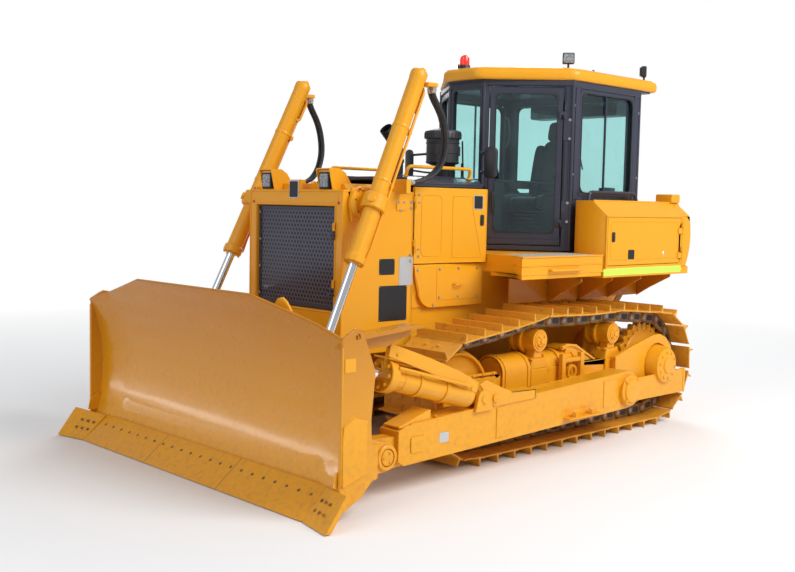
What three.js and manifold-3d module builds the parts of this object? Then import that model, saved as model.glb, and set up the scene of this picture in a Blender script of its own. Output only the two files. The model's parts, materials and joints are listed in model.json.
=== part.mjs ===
// A crawler bulldozer of the 25 tonne class: semi-straight blade with hydraulic tilt, two lift
// cylinders on the radiator guard, six-sided cab, fixed tracks.
// Millimetres. +X is forward, +Y the machine's left, +Z up. The machine is laid out from the sprocket
// axle (x = 0, y = 0) and the ground (z = 0); the outermost group then moves the middle of its length
// to the origin.

import * as THREE from "three";
import { mergeVertices } from "three/addons/utils/BufferGeometryUtils.js";
import Module from "manifold-3d";

const wasm = await Module();
wasm.setup();

// ---------------------------------------------------------------- driving dimensions

const gap = 0.3; // between pieces that touch
const running = 5; // between pieces that move past each other

// tracks
const gauge = 2000; // between the track centre lines
const shoeWidth = 560;
const shoeCount = 38;
const wheelbase = 2730; // sprocket axle to idler axle
const sprocketPinRadius = 451;
const idlerPinRadius = 420;
const sprocketPitches = 13; // links in one full turn of the sprocket
const railHeight = 50; // rail face below the pins
const linkHeight = 60; // shoe seat above the pins
const shoeThickness = 14;
const grouserHeight = 65;
const railInner = 45; // from the track centre line to the rail's inner side
const railOuter = 95;
const carrierX = [655, 1756];
const carrierPinZ = [1098, 1112]; // height of the pins over each carrier roller
const carrierRadius = 100;
const carrierPlay = 14; // the links pass over a carrier as straight chords
const idlerHubRadius = 75;
const hubRadius = 205; // sprocket hub
const hubCapRadius = 180;
const hubCapY = 1347;
const hullSideY = 700; // outer face of the final drive's housing
const rollerCount = 6;
const rollerPitch = 360;
const firstRollerX = 460;
const rollerRadius = 110;

// track frame and the push arms' trunnions
const frameInnerY = 870;
const frameOuterY = 1130;
const frameBottomZ = 440;
const frameTopZ = 700;
const trunnionX = 950;
const trunnionZ = 480;
const trunnionPinRadius = 70;
const trunnionBallRadius = 105;

// push arms
const armInnerY = 1330;
const armOuterY = 1530;
const armHeight = 310;
const armRearZ = 494; // centre line over the trunnion
const armFrontX = 3820;
const armFrontZ = 365;
const armJointX = 3975; // ball joint between arm and blade
const armJointZ = 335;
const armJointY = 1430;
const armLug = 120; // lug width at the ball joint
const jointBallRadius = 60;
const socketPlay = 2; // the socket sits 0.7 forward of the ball, which moves forward as the blade tilts
const earGap = 192; // between the blade's ears at the ball joint

// blade
const bladeHalf = 1715; // to the end plates
const bladeCrestHalf = 783;
const bladeCrestZ = 1445;
const bladeCornerZ = 1216;
const bladeFaceX = 4351; // deepest line of the face
const bladeFaceZ = 650;
const bladeRadius = 1403;
const bladeSkin = 30;
const wingStart = 1400; // where the face begins to turn forward
const wingTurn = 10; // degrees
const edgeTop = [4452, 200];
const edgeTip = [4690, 8];
const edgeThickness = 36;
const edgeHalf = 1521;
const bitTipX = 4764;
const bitHalf = 1857;

// lift cylinders
const liftYoke = [3423, 792, 2115];
const liftTop = [2914, 748, 3178];
const liftGland = [3647, 812, 1647];
const liftEye = [4005, 843, 900];
const liftBarrelRadius = 65;
const liftRodRadius = 36;
const liftRodInside = 560; // rod length inside the barrel at rest
const liftBore = 1600;
const liftPinRadius = 36;
const liftCross = [-0.773, -0.499, -0.391]; // direction of the barrel's cross pin in its yoke
const liftCrossRadius = 18;
const yokeRadius = 98;
const yokeHalf = 60;
const pistonSetback = 75; // from the rod's end to the piston, which carries the tilt's share
const pistonLength = 50;

const hoseRadius = 16;
const hosePitch = 44; // between the two hoses of a lift cylinder
const hoseRoute = [
  [3000, 694, 2290],
  [2930, 694, 2290],
  [2800, 735, 2330],
  [2700, 765, 2430],
  [2655, 775, 2570],
  [2665, 778, 2720],
  [2710, 776, 2850],
  [2790, 768, 2970],
  [2812, 766, 3020],
  [2812, 766, 3060],
];

// tilt cylinder (left) and blade brace (right)
const tiltRear = [2936, 1480, 626];
const tiltFront = [4180, 1450, 974];
const tiltBarrelRadius = 95;
const tiltRodRadius = 45;
const tiltGland = 1040; // rear pin to the head's face
const tiltRodInside = 260;
const braceRadius = 58;
const eyeBore = 41; // rear eyes of the tilt cylinder and the brace

// main frame
const hullHalf = 420;
const hullRearX = -420;
const hullFrontX = 3520;
const hullRailZ = 640;
const hullRailTopZ = 950;
const bellyZ = 430;
const drawbarX = -900;

// radiator guard and engine bay
const guardFrontX = 3590;
const guardRearX = 2850;
const guardHalfFront = 613;
const guardHalfRear = 650;
const guardBottomZ = 900;
const guardTopZ = 2206;
const guardWall = 40;
const grilleHalf = 514;
const grilleTopZ = 2082;
const grilleBottomZ = 1250;
const grilleX = 3562; // front face of the closed grille
const hoodRearX = 1545;
const hoodEdgeZ = 2262;
const hoodTopZ = 2345;
const bayRearX = 1990;
const exhaustX = 2440;
const doorBottomZ = 1617;
const doorHalfRear = 700;
const panelBottomZ = 1240;

// platform, side boxes and fuel tank
const sideHalf = 1280;
const deckTopZ = 1690;
const deckBottomZ = 1534;
const skirtBottomZ = 1480;
const boxBottomZ = 1552;
const boxTopZ = 2180;
const boxFrontX = 1050;
const boxRearX = -270;
const boxInnerY = 905;
const boxWall = 25;
const tankRearX = -430;

// cab
const cabFrontX = 1530;
const cabFrontHalf = 218;
const cabShoulderX = 1000;
const cabHalf = 850;
const cabRearX = -90;
const cabFloorZ = 1700;
const cabTopZ = 3285;
const cabWall = 50;
const roofEdge = 95;
const roofCrown = 45;
const beaconHeight = 125;
const doorThickness = 45;
const glass = 6;

// ---------------------------------------------------------------- shape helpers

const radians = (degrees) => (degrees * Math.PI) / 180;
const vector = (p) => new THREE.Vector3(...p);

/** A closed geometry as a manifold-3d solid. */
function solid(geometry) {
  const bare = geometry.clone();
  bare.deleteAttribute("normal");
  bare.deleteAttribute("uv");
  const merged = mergeVertices(bare, 1e-3);
  return new wasm.Manifold(
    new wasm.Mesh({
      numProp: 3,
      vertProperties: merged.attributes.position.array,
      triVerts: new Uint32Array(merged.index.array),
    }),
  );
}

const join = (first, ...rest) => rest.flat().reduce((a, b) => a.add(b), first);
const cut = (first, ...tools) => tools.flat().reduce((a, b) => a.subtract(b), first);

/** An upright box between two corners. */
function box(x0, x1, y0, y1, z0, z1) {
  const geometry = new THREE.BoxGeometry(x1 - x0, y1 - y0, z1 - z0);
  return solid(geometry.translate((x0 + x1) / 2, (y0 + y1) / 2, (z0 + z1) / 2));
}

/** A cylinder from one point to another. */
function bar(from, to, radius, sides = 16) {
  const a = vector(from);
  const run = vector(to).sub(a);
  const geometry = new THREE.CylinderGeometry(radius, radius, run.length(), sides);
  geometry.translate(0, run.length() / 2, 0);
  const turn = new THREE.Quaternion().setFromUnitVectors(new THREE.Vector3(0, 1, 0), run.normalize());
  return solid(geometry.applyQuaternion(turn).translate(a.x, a.y, a.z));
}

/** A cylinder across the machine, at (x, z), from y0 to y1. */
const axle = (x, z, y0, y1, radius, sides = 16) => bar([x, y0, z], [x, y1, z], radius, sides);

/** A profile of [radius, height] points turned about a line from `from` towards `to`. */
function turned(profile, from, to, sides = 20) {
  const a = vector(from);
  const direction = vector(to).sub(a).normalize();
  const points = profile.map(([radius, height]) => new THREE.Vector2(radius, height));
  const geometry = new THREE.LatheGeometry(points, sides);
  const turn = new THREE.Quaternion().setFromUnitVectors(new THREE.Vector3(0, 1, 0), direction);
  return solid(geometry.applyQuaternion(turn).translate(a.x, a.y, a.z));
}

/** A flat outline of [u, v] points with optional holes, pulled along a third axis. */
function extruded(outline, holes, depth) {
  const shape = new THREE.Shape(outline.map(([u, v]) => new THREE.Vector2(u, v)));
  shape.holes = holes.map((hole) => new THREE.Path(hole.map(([u, v]) => new THREE.Vector2(u, v))));
  return new THREE.ExtrudeGeometry(shape, { depth, bevelEnabled: false });
}

/** An outline in X and Z, pulled across from y0 to y1. */
function acrossY(outline, y0, y1, holes = []) {
  const geometry = extruded(outline, holes, y1 - y0);
  return solid(geometry.rotateX(Math.PI / 2).translate(0, y1, 0));
}

/** An outline in X and Y, pulled up from z0 to z1. */
function upZ(outline, z0, z1, holes = []) {
  return solid(extruded(outline, holes, z1 - z0).translate(0, 0, z0));
}

/** An outline in Y and Z, pulled forward from x0 to x1. */
function alongX(outline, x0, x1, holes = []) {
  const geometry = extruded(outline, holes, x1 - x0);
  const turn = new THREE.Matrix4().makeBasis(
    new THREE.Vector3(0, 1, 0),
    new THREE.Vector3(0, 0, 1),
    new THREE.Vector3(1, 0, 0),
  );
  return solid(geometry.applyMatrix4(turn).translate(x0, 0, 0));
}

/** The points of an arc, in degrees, both ends included. */
function arc(cx, cz, radius, from, to, steps) {
  return Array.from({ length: steps + 1 }, (_, i) => {
    const angle = radians(from + ((to - from) * i) / steps);
    return [cx + radius * Math.cos(angle), cz + radius * Math.sin(angle)];
  });
}

const circle = (cx, cz, radius, steps) => arc(cx, cz, radius, 0, 360 - 360 / steps, steps - 1);

/** The outline and its mirror image across y = 0, as one closed outline. */
const bothSides = (half) => [...half, ...half.toReversed().map(([x, y]) => [x, -y])];

/** A closed outline moved outwards by a distance, for outlines that run anticlockwise. */
function grown(outline, distance) {
  const count = outline.length;
  return outline.map(([x, y], i) => {
    const [ax, ay] = outline[(i + count - 1) % count];
    const [bx, by] = outline[(i + 1) % count];
    const before = new THREE.Vector2(x - ax, y - ay).normalize();
    const after = new THREE.Vector2(bx - x, by - y).normalize();
    const out = new THREE.Vector2(before.y + after.y, -before.x - after.x).normalize();
    const reach = distance / (out.x * before.y - out.y * before.x);
    return [x + out.x * reach, y + out.y * reach];
  });
}

/** A prism whose top outline has as many points as its bottom outline, each at its own height. */
function lofted(bottom, z0, top, z1) {
  const count = bottom.length;
  const points = [...bottom.map(([x, y]) => [x, y, z0]), ...top.map(([x, y]) => [x, y, z1])];
  const faces = [];
  for (let i = 0; i < count; i++) {
    const j = (i + 1) % count;
    faces.push([i, j, count + j], [i, count + j, count + i]);
    if (i > 0 && i < count - 1) faces.push([0, i + 1, i], [count, count + i, count + i + 1]);
  }
  return solid(meshOf(points, faces));
}

function meshOf(points, faces) {
  const geometry = new THREE.BufferGeometry();
  geometry.setAttribute("position", new THREE.Float32BufferAttribute(points.flat(), 3));
  geometry.setIndex(faces.flat());
  return geometry;
}

/** A flat bar of rectangular section between two points, `width` across Y and `height` the other way. */
function strut(from, to, width, height) {
  const a = vector(from);
  const run = vector(to).sub(a);
  const length = run.length();
  const geometry = new THREE.BoxGeometry(width, length, height).translate(0, length / 2, 0);
  const forward = run.normalize();
  const side = new THREE.Vector3(0, 1, 0).addScaledVector(forward, -forward.y).normalize();
  const up = new THREE.Vector3().crossVectors(side, forward);
  const turn = new THREE.Matrix4().makeBasis(side, forward, up);
  return solid(geometry.applyMatrix4(turn).translate(a.x, a.y, a.z));
}

/** A round tube along a smooth curve through the points. */
function hose(points, radius) {
  const curve = new THREE.CatmullRomCurve3(points.map(vector));
  const sides = 6;
  const shape = new THREE.Shape(
    circle(0, 0, radius, sides).map(([u, v]) => new THREE.Vector2(u, v)),
  );
  const steps = Math.round(curve.getLength() / (5 * radius));
  return solid(new THREE.ExtrudeGeometry(shape, { steps, extrudePath: curve, bevelEnabled: false }));
}

/** The point at a share of the way from a to b. */
const between = (a, b, share) => a.map((value, i) => value + (b[i] - value) * share);

/** The point at a distance from a towards b. */
const towards = (a, b, distance) => between(a, b, distance / vector(a).distanceTo(vector(b)));

/** A hinge's two knuckles on an upright line through [x, y]: the leaf's and the fixed one above it. */
function knuckles([x, y], z, length, radius) {
  const leaf = bar([x, y, z], [x, y, z + length], radius, 8);
  const fixed = bar([x, y, z + length + gap], [x, y, z + 2 * length], radius, 8);
  return { leaf, fixed };
}

// ---------------------------------------------------------------- materials

const paint = (color, roughness = 0.38, metalness = 0) =>
  new THREE.MeshStandardMaterial({ color, roughness, metalness });

const yellow = paint(0xefa21c);
const darkGrey = paint(0x33353f, 0.5);
const black = paint(0x17181b, 0.55);
const trackSteel = paint(0x5b4128, 0.6, 0.4);
const chrome = paint(0xd9dde2, 0.12, 1);
const engineGrey = paint(0x4b4f55, 0.6, 0.3);
const seatCloth = paint(0x202226, 0.9);
const rubber = paint(0x141416, 0.8);
const clearGlass = new THREE.MeshStandardMaterial({
  color: 0x6f9aa0,
  roughness: 0.05,
  transparent: true,
  opacity: 0.35,
});

const machine = new THREE.Group();
machine.position.x = -(bitTipX + drawbarX) / 2;
const leftSide = new THREE.Group();
const rightSide = new THREE.Group();
rightSide.scale.y = -1;
machine.add(leftSide, rightSide);

/** Adds a solid to the machine as one named mesh. */
function add(name, shape, material, group = machine) {
  const { vertProperties, triVerts } = shape.getMesh();
  const geometry = new THREE.BufferGeometry();
  geometry.setAttribute("position", new THREE.BufferAttribute(new Float32Array(vertProperties), 3));
  geometry.setIndex(new THREE.BufferAttribute(new Uint32Array(triVerts), 1));
  geometry.computeVertexNormals();
  const mesh = new THREE.Mesh(geometry, material);
  mesh.name = name;
  group.add(mesh);
}

/** Adds a left-hand solid, and its mirror image on the right. */
function addPair(name, shape, material) {
  add("left_" + name, shape, material, leftSide);
  add("right_" + name, shape, material, rightSide);
}

// ---------------------------------------------------------------- tracks

const trackY = gauge / 2;
const pinHeight = linkHeight + shoeThickness + grouserHeight; // pins above the ground
const sprocketZ = pinHeight + sprocketPinRadius;
const idlerZ = pinHeight + idlerPinRadius;
const shoeHalf = shoeWidth / 2;

/** Points from a to b that hang down by `depth` in the middle, without the last one. */
function sagging([ax, az], [bx, bz], depth, steps = 8) {
  return Array.from({ length: steps }, (_, i) => {
    const t = i / steps;
    return [ax + (bx - ax) * t, az + (bz - az) * t - 4 * depth * t * (1 - t)];
  });
}

/** The closed line that the pins follow, anticlockwise seen from the left-hand side's negative Y. */
function pinLine() {
  const idlerArc = arc(wheelbase, idlerZ, idlerPinRadius, -90, 84, 24);
  const sprocketArc = arc(0, sprocketZ, sprocketPinRadius, 93, 270, 26);
  const carriers = [1, 0].map((i) => [carrierX[i], carrierPinZ[i]]);
  return [
    ...idlerArc,
    ...sagging(idlerArc.at(-1), carriers[0], 16).slice(1),
    ...sagging(carriers[0], carriers[1], 18),
    ...sagging(carriers[1], sprocketArc[0], 8),
    ...sprocketArc,
  ];
}

/** The pins, evenly spaced along the pin line. */
function pinPoints() {
  const line = pinLine();
  const ring = [...line, line[0]];
  const reach = [0];
  for (let i = 1; i < ring.length; i++) {
    reach.push(reach[i - 1] + Math.hypot(ring[i][0] - ring[i - 1][0], ring[i][1] - ring[i - 1][1]));
  }
  const total = reach.at(-1);
  return Array.from({ length: shoeCount }, (_, k) => {
    const at = (total * (k + 0.5)) / shoeCount;
    const i = reach.findIndex((value) => value > at);
    const t = (at - reach[i - 1]) / (reach[i] - reach[i - 1]);
    return between(ring[i - 1], ring[i], t);
  });
}

/** The outside of the shoes: a flat plate per link with one grouser near its leading pin. */
function shoeOutline(pins) {
  const seat = linkHeight + shoeThickness;
  const tip = seat + grouserHeight;
  const steps = [
    [0.06, seat],
    [0.1, tip],
    [0.27, seat],
  ];
  return pins.flatMap(([ax, az], k) => {
    const [bx, bz] = pins[(k + 1) % pins.length];
    const length = Math.hypot(bx - ax, bz - az);
    const [tx, tz] = [(bx - ax) / length, (bz - az) / length];
    return steps.map(([along, out]) => [
      ax + tx * along * length + tz * out,
      az + tz * along * length - tx * out,
    ]);
  });
}

function addTracks() {
  const pins = pinPoints();
  const seat = grown(pins, linkHeight);
  const shoes = acrossY(shoeOutline(pins), trackY - shoeHalf, trackY + shoeHalf, [seat]);
  const rails = [-1, 1].map((side) => {
    const edges = [trackY + side * railInner, trackY + side * railOuter].sort((a, b) => a - b);
    return acrossY(grown(pins, linkHeight + shoeThickness / 2), ...edges, [grown(pins, -railHeight)]);
  });
  addPair("track", join(shoes, rails), trackSteel);
}

// ---------------------------------------------------------------- wheels of the undercarriage

function addSprockets() {
  const root = sprocketPinRadius - railHeight - 28;
  const step = 360 / (2 * sprocketPitches);
  const teeth = Array.from({ length: 2 * sprocketPitches }, (_, k) => {
    const [from, to] = arc(0, sprocketZ, root, (k - 0.4) * step, (k + 0.4) * step, 1);
    const [tip] = arc(0, sprocketZ, root + 34, k * step, (k + 1) * step, 1);
    return [from, tip, to];
  });
  const rim = acrossY(teeth.flat(), trackY - 35, trackY + 35);
  const profile = [
    [0, 0],
    [300, 0],
    [330, 240],
    [330, 320],
    [hubRadius, 430],
    [hubRadius, 540],
    [hubCapRadius, 590],
    [hubCapRadius - 25, hubCapY - hullSideY],
    [0, hubCapY - hullSideY],
  ];
  const hub = turned(profile, [0, hullSideY + gap, sprocketZ], [0, hubCapY, sprocketZ], 18);
  addPair("sprocket", join(rim, hub), yellow);
}

function addIdlers() {
  const tread = idlerPinRadius * Math.cos(Math.asin(108 / idlerPinRadius)) - railHeight - gap;
  const half = 130;
  const profile = [
    [0, -half],
    [idlerHubRadius, -half],
    [idlerHubRadius, -railOuter],
    [tread - 2, -railOuter],
    [tread - 2, railOuter],
    [idlerHubRadius, railOuter],
    [idlerHubRadius, half],
    [0, half],
  ];
  const wheel = turned(profile, [wheelbase, trackY, idlerZ], [wheelbase, trackY + 1, idlerZ], 26);
  addPair("idler", wheel, yellow);
}

/** Rollers carried by a guard plate on each side. */
function addTrackRollers() {
  const z = pinHeight + railHeight + rollerRadius;
  const rollers = Array.from({ length: rollerCount }, (_, i) =>
    axle(firstRollerX + i * rollerPitch, z, trackY - 150, trackY + 150, rollerRadius - gap, 14),
  );
  const lastX = firstRollerX + (rollerCount - 1) * rollerPitch;
  const outline = [
    [firstRollerX - 120, 250],
    [lastX + 120, 250],
    [lastX + 170, frameBottomZ - gap],
    [firstRollerX - 170, frameBottomZ - gap],
  ];
  const plates = [-1, 1].map((side) => {
    const edges = [trackY + side * 140, trackY + side * 165].sort((a, b) => a - b);
    return acrossY(outline, ...edges);
  });
  addPair("track_rollers", join(plates[0], plates[1], rollers), yellow);
}

// ---------------------------------------------------------------- track frame

/** The pedestal and roller that hold up the track's top run. */
function carrier(index) {
  const x = carrierX[index];
  const z = carrierPinZ[index] - railHeight - carrierRadius - carrierPlay;
  const roller = axle(x, z, trackY - 126, trackY + 150, carrierRadius, 14);
  const post = acrossY(
    [
      [x - 110, frameTopZ - 20],
      [x + 110, frameTopZ - 20],
      [x + 60, z - 40],
      ...arc(x, z, 62, -20, 200, 4),
      [x - 60, z - 40],
    ],
    frameInnerY - 22,
    frameInnerY + 5,
  );
  return join(post, roller);
}

/** The inner (-1) or outer (1) side of the track frame. */
const frameEdge = (side) => (side < 0 ? frameInnerY : frameOuterY);

function addTrackFrames() {
  const beam = acrossY(
    [
      [430, frameBottomZ],
      [2290, frameBottomZ],
      [2330, 480],
      [2330, 640],
      [2240, frameTopZ],
      [430, frameTopZ],
    ],
    frameInnerY,
    frameOuterY,
  );
  const forkOutline = [
    [2240, 480],
    [2650, 480],
    ...arc(wheelbase, idlerZ, 110, -60, 60, 6),
    [2650, 640],
    [2240, 640],
  ];
  const forks = [-1, 1].map((side) => {
    const edges = [trackY + side * (railOuter + running), frameEdge(side)].sort((a, b) => a - b);
    return acrossY(forkOutline, ...edges);
  });
  const axleHole = axle(wheelbase, idlerZ, frameInnerY - 10, frameOuterY + 10, idlerHubRadius + gap, 26);
  const recoil = bar([1150, trackY, frameTopZ], [2250, trackY, frameTopZ], 125, 14);
  const mount = box(820, 1080, frameOuterY - 10, 1290, frameBottomZ + 2, trunnionZ + 110);
  const pin = axle(trunnionX, trunnionZ, 1280, 1500, trunnionPinRadius, 16);
  const support = acrossY(
    [...arc(0, sprocketZ, 300, 75, 285, 9), [430, 330], [700, 330], [700, 720], [430, 800]],
    1180,
    1215,
    [circle(0, sprocketZ, hubRadius + running, 18)],
  );
  const spacer = box(440, 690, frameOuterY - 5, 1190, 450, 690);
  const pieces = [forks, recoil, mount, pin, support, spacer, carrierX.map((_, i) => carrier(i))];
  addPair("track_frame", cut(join(beam, pieces.flat()), axleHole), yellow);
}

// ---------------------------------------------------------------- main frame

/** Rails, steering case, belly plates, equalizer bar, final drive housings and drawbar. */
function addMainFrame() {
  const rail = (side) => {
    const edges = [side * (hullHalf - 90), side * hullHalf].sort((a, b) => a - b);
    return box(800, hullFrontX, ...edges, hullRailZ, hullRailTopZ);
  };
  const steeringCase = acrossY(
    [
      [hullRearX, 560],
      [hullRearX + 130, bellyZ],
      [960, bellyZ],
      [960, skirtBottomZ - gap],
      [hullRearX + 60, skirtBottomZ - gap],
      [hullRearX, 1250],
    ],
    -hullHalf,
    hullHalf,
  );
  const crossBeams = [
    box(hullFrontX - 120, hullFrontX, -hullHalf, hullHalf, hullRailZ, guardBottomZ - 10),
    box(2140, 2360, -hullHalf, hullHalf, hullRailZ, hullRailZ + 120),
  ];
  const belly = [
    box(900, 2130, -hullHalf + 40, hullHalf - 40, bellyZ, bellyZ + 25),
    box(1000, 1080, -hullHalf + 40, hullHalf - 40, bellyZ, hullRailZ + 40),
    box(2060, 2130, -hullHalf + 40, hullHalf - 40, bellyZ, hullRailZ + 40),
    acrossY(
      [
        [2370, 470],
        [3200, 470],
        [hullFrontX, hullRailZ],
        [hullFrontX - 40, hullRailZ + 30],
        [3190, 500],
        [2440, 500],
        [2440, hullRailZ + 30],
        [2370, hullRailZ + 30],
      ],
      -hullHalf + 40,
      hullHalf - 40,
    ),
  ];
  const equalizer = [
    box(2180, 2320, -frameInnerY + gap, frameInnerY - gap, 475, 600),
    box(2200, 2300, -120, 120, 600 - 1, hullRailZ + 1),
  ];
  const housing = bar([0, -hullSideY, sprocketZ], [0, hullSideY, sprocketZ], 330, 18);
  const pivots = axle(560, 570, -frameInnerY + gap, frameInnerY - gap, 70, 12);
  const drawbar = [
    box(-820, hullRearX + 200, -90, 90, 585, 705),
    box(drawbarX, -780, -110, 110, 700, 745),
    box(drawbarX, -780, -110, 110, 545, 590),
    box(-800, -760, -110, 110, 560, 730),
  ];
  const pinHole = bar([-850, 0, 520], [-850, 0, 770], 32, 12);
  const pieces = [rail(-1), rail(1), crossBeams, belly, equalizer, housing, pivots, drawbar].flat();
  add("main_frame", cut(join(steeringCase, pieces), pinHole), yellow);
}

function addEngine() {
  add("engine", box(2040, 3250, -325, 325, hullRailZ + 120 + running, 1950), engineGrey);
}

function addRadiator() {
  add("radiator", box(3390, 3500, -505, 505, hullRailTopZ + guardWall + 2 * gap, grilleTopZ), black);
}

// ---------------------------------------------------------------- radiator guard and grille

const grilleHinge = [guardFrontX + 14, grilleHalf + 8];
const grilleHingeZ = [grilleBottomZ + 120, grilleTopZ - 260];
const engineDoorHinge = [guardRearX - 4, guardHalfRear + 14];
const engineDoorHingeZ = [doorBottomZ + 90, hoodEdgeZ - 190];
const smallKnuckle = [55, 9]; // length and radius

/** The fixed knuckles of the grille's and the engine doors' hinges, on their lugs. */
function guardKnuckles() {
  const pieces = grilleHingeZ.map((z) => {
    const [x, y] = grilleHinge;
    const { fixed } = knuckles(grilleHinge, z, 65, 12);
    return join(fixed, box(guardFrontX - 1, x - 9, y - 12, y + 12, z + 67, z + 128));
  });
  for (const z of engineDoorHingeZ) {
    const [x, y] = engineDoorHinge;
    const { fixed } = knuckles(engineDoorHinge, z, ...smallKnuckle);
    const left = join(fixed, box(x + 6, x + 16, guardHalfRear - 5, y + 5, z + 57, z + 108));
    pieces.push(left, left.mirror([0, 1, 0]));
  }
  return pieces;
}

/** A housing open at the rear, with the grille's opening in front and a bearing for each lift cylinder. */
function addRadiatorGuard() {
  const half = [
    [guardRearX, guardHalfRear],
    [guardFrontX, guardHalfFront],
  ];
  const outer = bothSides(half).toReversed();
  const inner = bothSides([
    [guardRearX - 50, guardHalfRear - guardWall],
    [grilleX - 32, guardHalfFront - guardWall],
  ]).toReversed();
  const shell = cut(
    upZ(outer, guardBottomZ, guardTopZ),
    upZ(inner, guardBottomZ - 10, guardTopZ - guardWall),
    box(grilleX - 60, guardFrontX + 10, -grilleHalf, grilleHalf, grilleBottomZ, grilleTopZ),
  );
  const floorZ = hullRailTopZ + gap;
  const floorHalf = guardHalfFront - guardWall / 2;
  const floor = box(3250, grilleX - 30, -floorHalf, floorHalf, floorZ, floorZ + guardWall);
  const crown = alongX(
    [
      [-guardHalfFront + 60, guardTopZ - 5],
      [guardHalfFront - 60, guardTopZ - 5],
      [guardHalfFront - 130, guardTopZ + 60],
      [-guardHalfFront + 130, guardTopZ + 60],
    ],
    guardRearX,
    guardFrontX - 110,
  );
  const hood = (y) =>
    acrossY(
      [
        [guardFrontX - 210, guardTopZ - 5],
        [guardFrontX - 40, guardTopZ - 5],
        [guardFrontX, guardTopZ + 163],
        [guardFrontX - 60, guardTopZ + 163],
        [guardFrontX - 210, guardTopZ + 60],
      ],
      y - 75,
      y + 75,
    );
  const blocks = [1, -1].map((side) => {
    const edges = [side * (guardHalfFront - 20), side * 682].sort((a, b) => a - b);
    return box(liftYoke[0] - 80, liftYoke[0] + 80, ...edges, liftYoke[2] - 90, liftYoke[2] + 90);
  });
  const [hoseX, hoseY, hoseZ] = hoseRoute[0];
  const portY = [guardHalfFront - 20, hoseY + hosePitch + 25];
  const hosePort = box(hoseX + gap, hoseX + 50, ...portY, guardTopZ - 10, hoseZ + 22);
  const hosePorts = [hosePort, hosePort.mirror([0, 1, 0])];
  const bores = [1, -1].map((side) => {
    const edges = [side * 632, side * 700].sort((a, b) => a - b);
    return axle(liftYoke[0], liftYoke[2], ...edges, liftPinRadius + running);
  });
  add("radiator_guard", cut(join(shell, floor, crown, hood(380), hood(-380), blocks, hosePorts, guardKnuckles()), bores), yellow);
}

/** A flat grille plate in a frame, on two hinge straps at its left-hand edge. */
function addGrilleDoor() {
  const edge = grilleHalf - 6;
  const plate = box(grilleX - 22, grilleX, -edge, edge, grilleBottomZ + 6, grilleTopZ - 6);
  const [x, y] = grilleHinge;
  const straps = grilleHingeZ.map((z) =>
    join(
      box(grilleX - 2, x + 8, edge - 45, edge, z, z + 65),
      box(x - 8, x + 8, edge - 10, y, z, z + 65),
      knuckles(grilleHinge, z, 65, 12).leaf,
    ),
  );
  add("grille_door", join(plate, straps), darkGrey);
}

// ---------------------------------------------------------------- engine bay

/** Side door: front half straight, rear half flared outwards. */
function addEngineDoors() {
  const skin = 25;
  const ridgeX = 2450;
  const outline = [
    [guardRearX - 8, guardHalfRear],
    [ridgeX, guardHalfRear + 5],
    [bayRearX + 5, doorHalfRear],
    [bayRearX + 5, doorHalfRear - skin],
    [ridgeX, guardHalfRear + 5 - skin],
    [guardRearX - 8, guardHalfRear - skin],
  ];
  const [x, y] = engineDoorHinge;
  const hinges = engineDoorHingeZ.map((z) =>
    join(knuckles(engineDoorHinge, z, ...smallKnuckle).leaf, box(x - 14, x - 4, y - 20, y + 5, z, z + 55)),
  );
  addPair("engine_door", join(upZ(outline, doorBottomZ, hoodEdgeZ - 6), hinges), yellow);
}

/** The fixed panel below an engine door, from the step deck to the radiator guard. */
function engineSidePanel() {
  const outline = [
    [bayRearX - 10, panelBottomZ],
    [2620, panelBottomZ],
    ...arc(2620, panelBottomZ + 150, 150, -75, 0, 5),
    [guardRearX - 8, doorBottomZ - 8],
    [bayRearX - 10, doorBottomZ - 8],
  ];
  return acrossY(outline, guardHalfRear - 30, guardHalfRear);
}

/** Bonnet plate with folded shoulders over the engine bay. */
function addEngineHood() {
  const outer = [
    [guardHalfRear - 5, hoodEdgeZ],
    [guardHalfRear - 5, hoodEdgeZ + 30],
    [guardHalfRear - 150, hoodTopZ],
  ];
  const inner = [
    [guardHalfRear - 35, hoodEdgeZ],
    [guardHalfRear - 35, hoodEdgeZ + 18],
    [guardHalfRear - 158, hoodTopZ - 28],
  ];
  const half = [...outer, ...outer.toReversed().map(([y, z]) => [-y, z])];
  const under = [...inner.map(([y, z]) => [-y, z]), ...inner.toReversed()];
  const shell = alongX([...half, ...under], bayRearX + 2, guardRearX - gap);
  const collars = [bar([exhaustX, 0, hoodTopZ - 25], [exhaustX, 0, hoodTopZ + 12], 95, 20)];
  add("engine_hood", join(shell, collars), darkGrey);
}

/** Cowl behind the engine bay, narrowing to the cab's nose so that the cab doors swing past it. */
function addRearCowl() {
  const outline = [
    [hoodRearX + 15, cabFrontHalf - 8],
    [bayRearX, doorHalfRear - 15],
  ];
  const shoulders = [
    [hoodRearX + 15, cabFrontHalf - 28],
    [bayRearX, guardHalfRear - 150],
  ];
  const block = upZ(bothSides(outline).toReversed(), deckTopZ + gap, hoodEdgeZ);
  const top = lofted(
    bothSides(outline).toReversed(),
    hoodEdgeZ - 1,
    bothSides(shoulders).toReversed(),
    hoodTopZ,
  );
  add("rear_cowl", join(block, top), yellow);
}

function addExhaust() {
  const z = hoodTopZ + 12 + gap;
  const stack = bar([exhaustX, 0, z], [exhaustX, 0, z + 300], 60, 14);
  const tip = bar([exhaustX, 0, z + 290], [exhaustX + 150, 0, z + 430], 60, 14);
  const knee = solid(new THREE.SphereGeometry(62, 12, 6).translate(exhaustX, 0, z + 296));
  add("exhaust_stack", join(stack, knee, tip), black);
}

function addPrecleaner() {
  const profile = [
    [0, 0],
    [70, 0],
    [70, 140],
    [150, 170],
    [150, 370],
    [165, 385],
    [165, 440],
    [0, 480],
  ];
  const from = [1850, 0, hoodTopZ + gap];
  add("air_precleaner", turned(profile, from, [1850, 0, hoodTopZ + 500], 18), black);
}

// ---------------------------------------------------------------- platform, side boxes, tank

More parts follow.
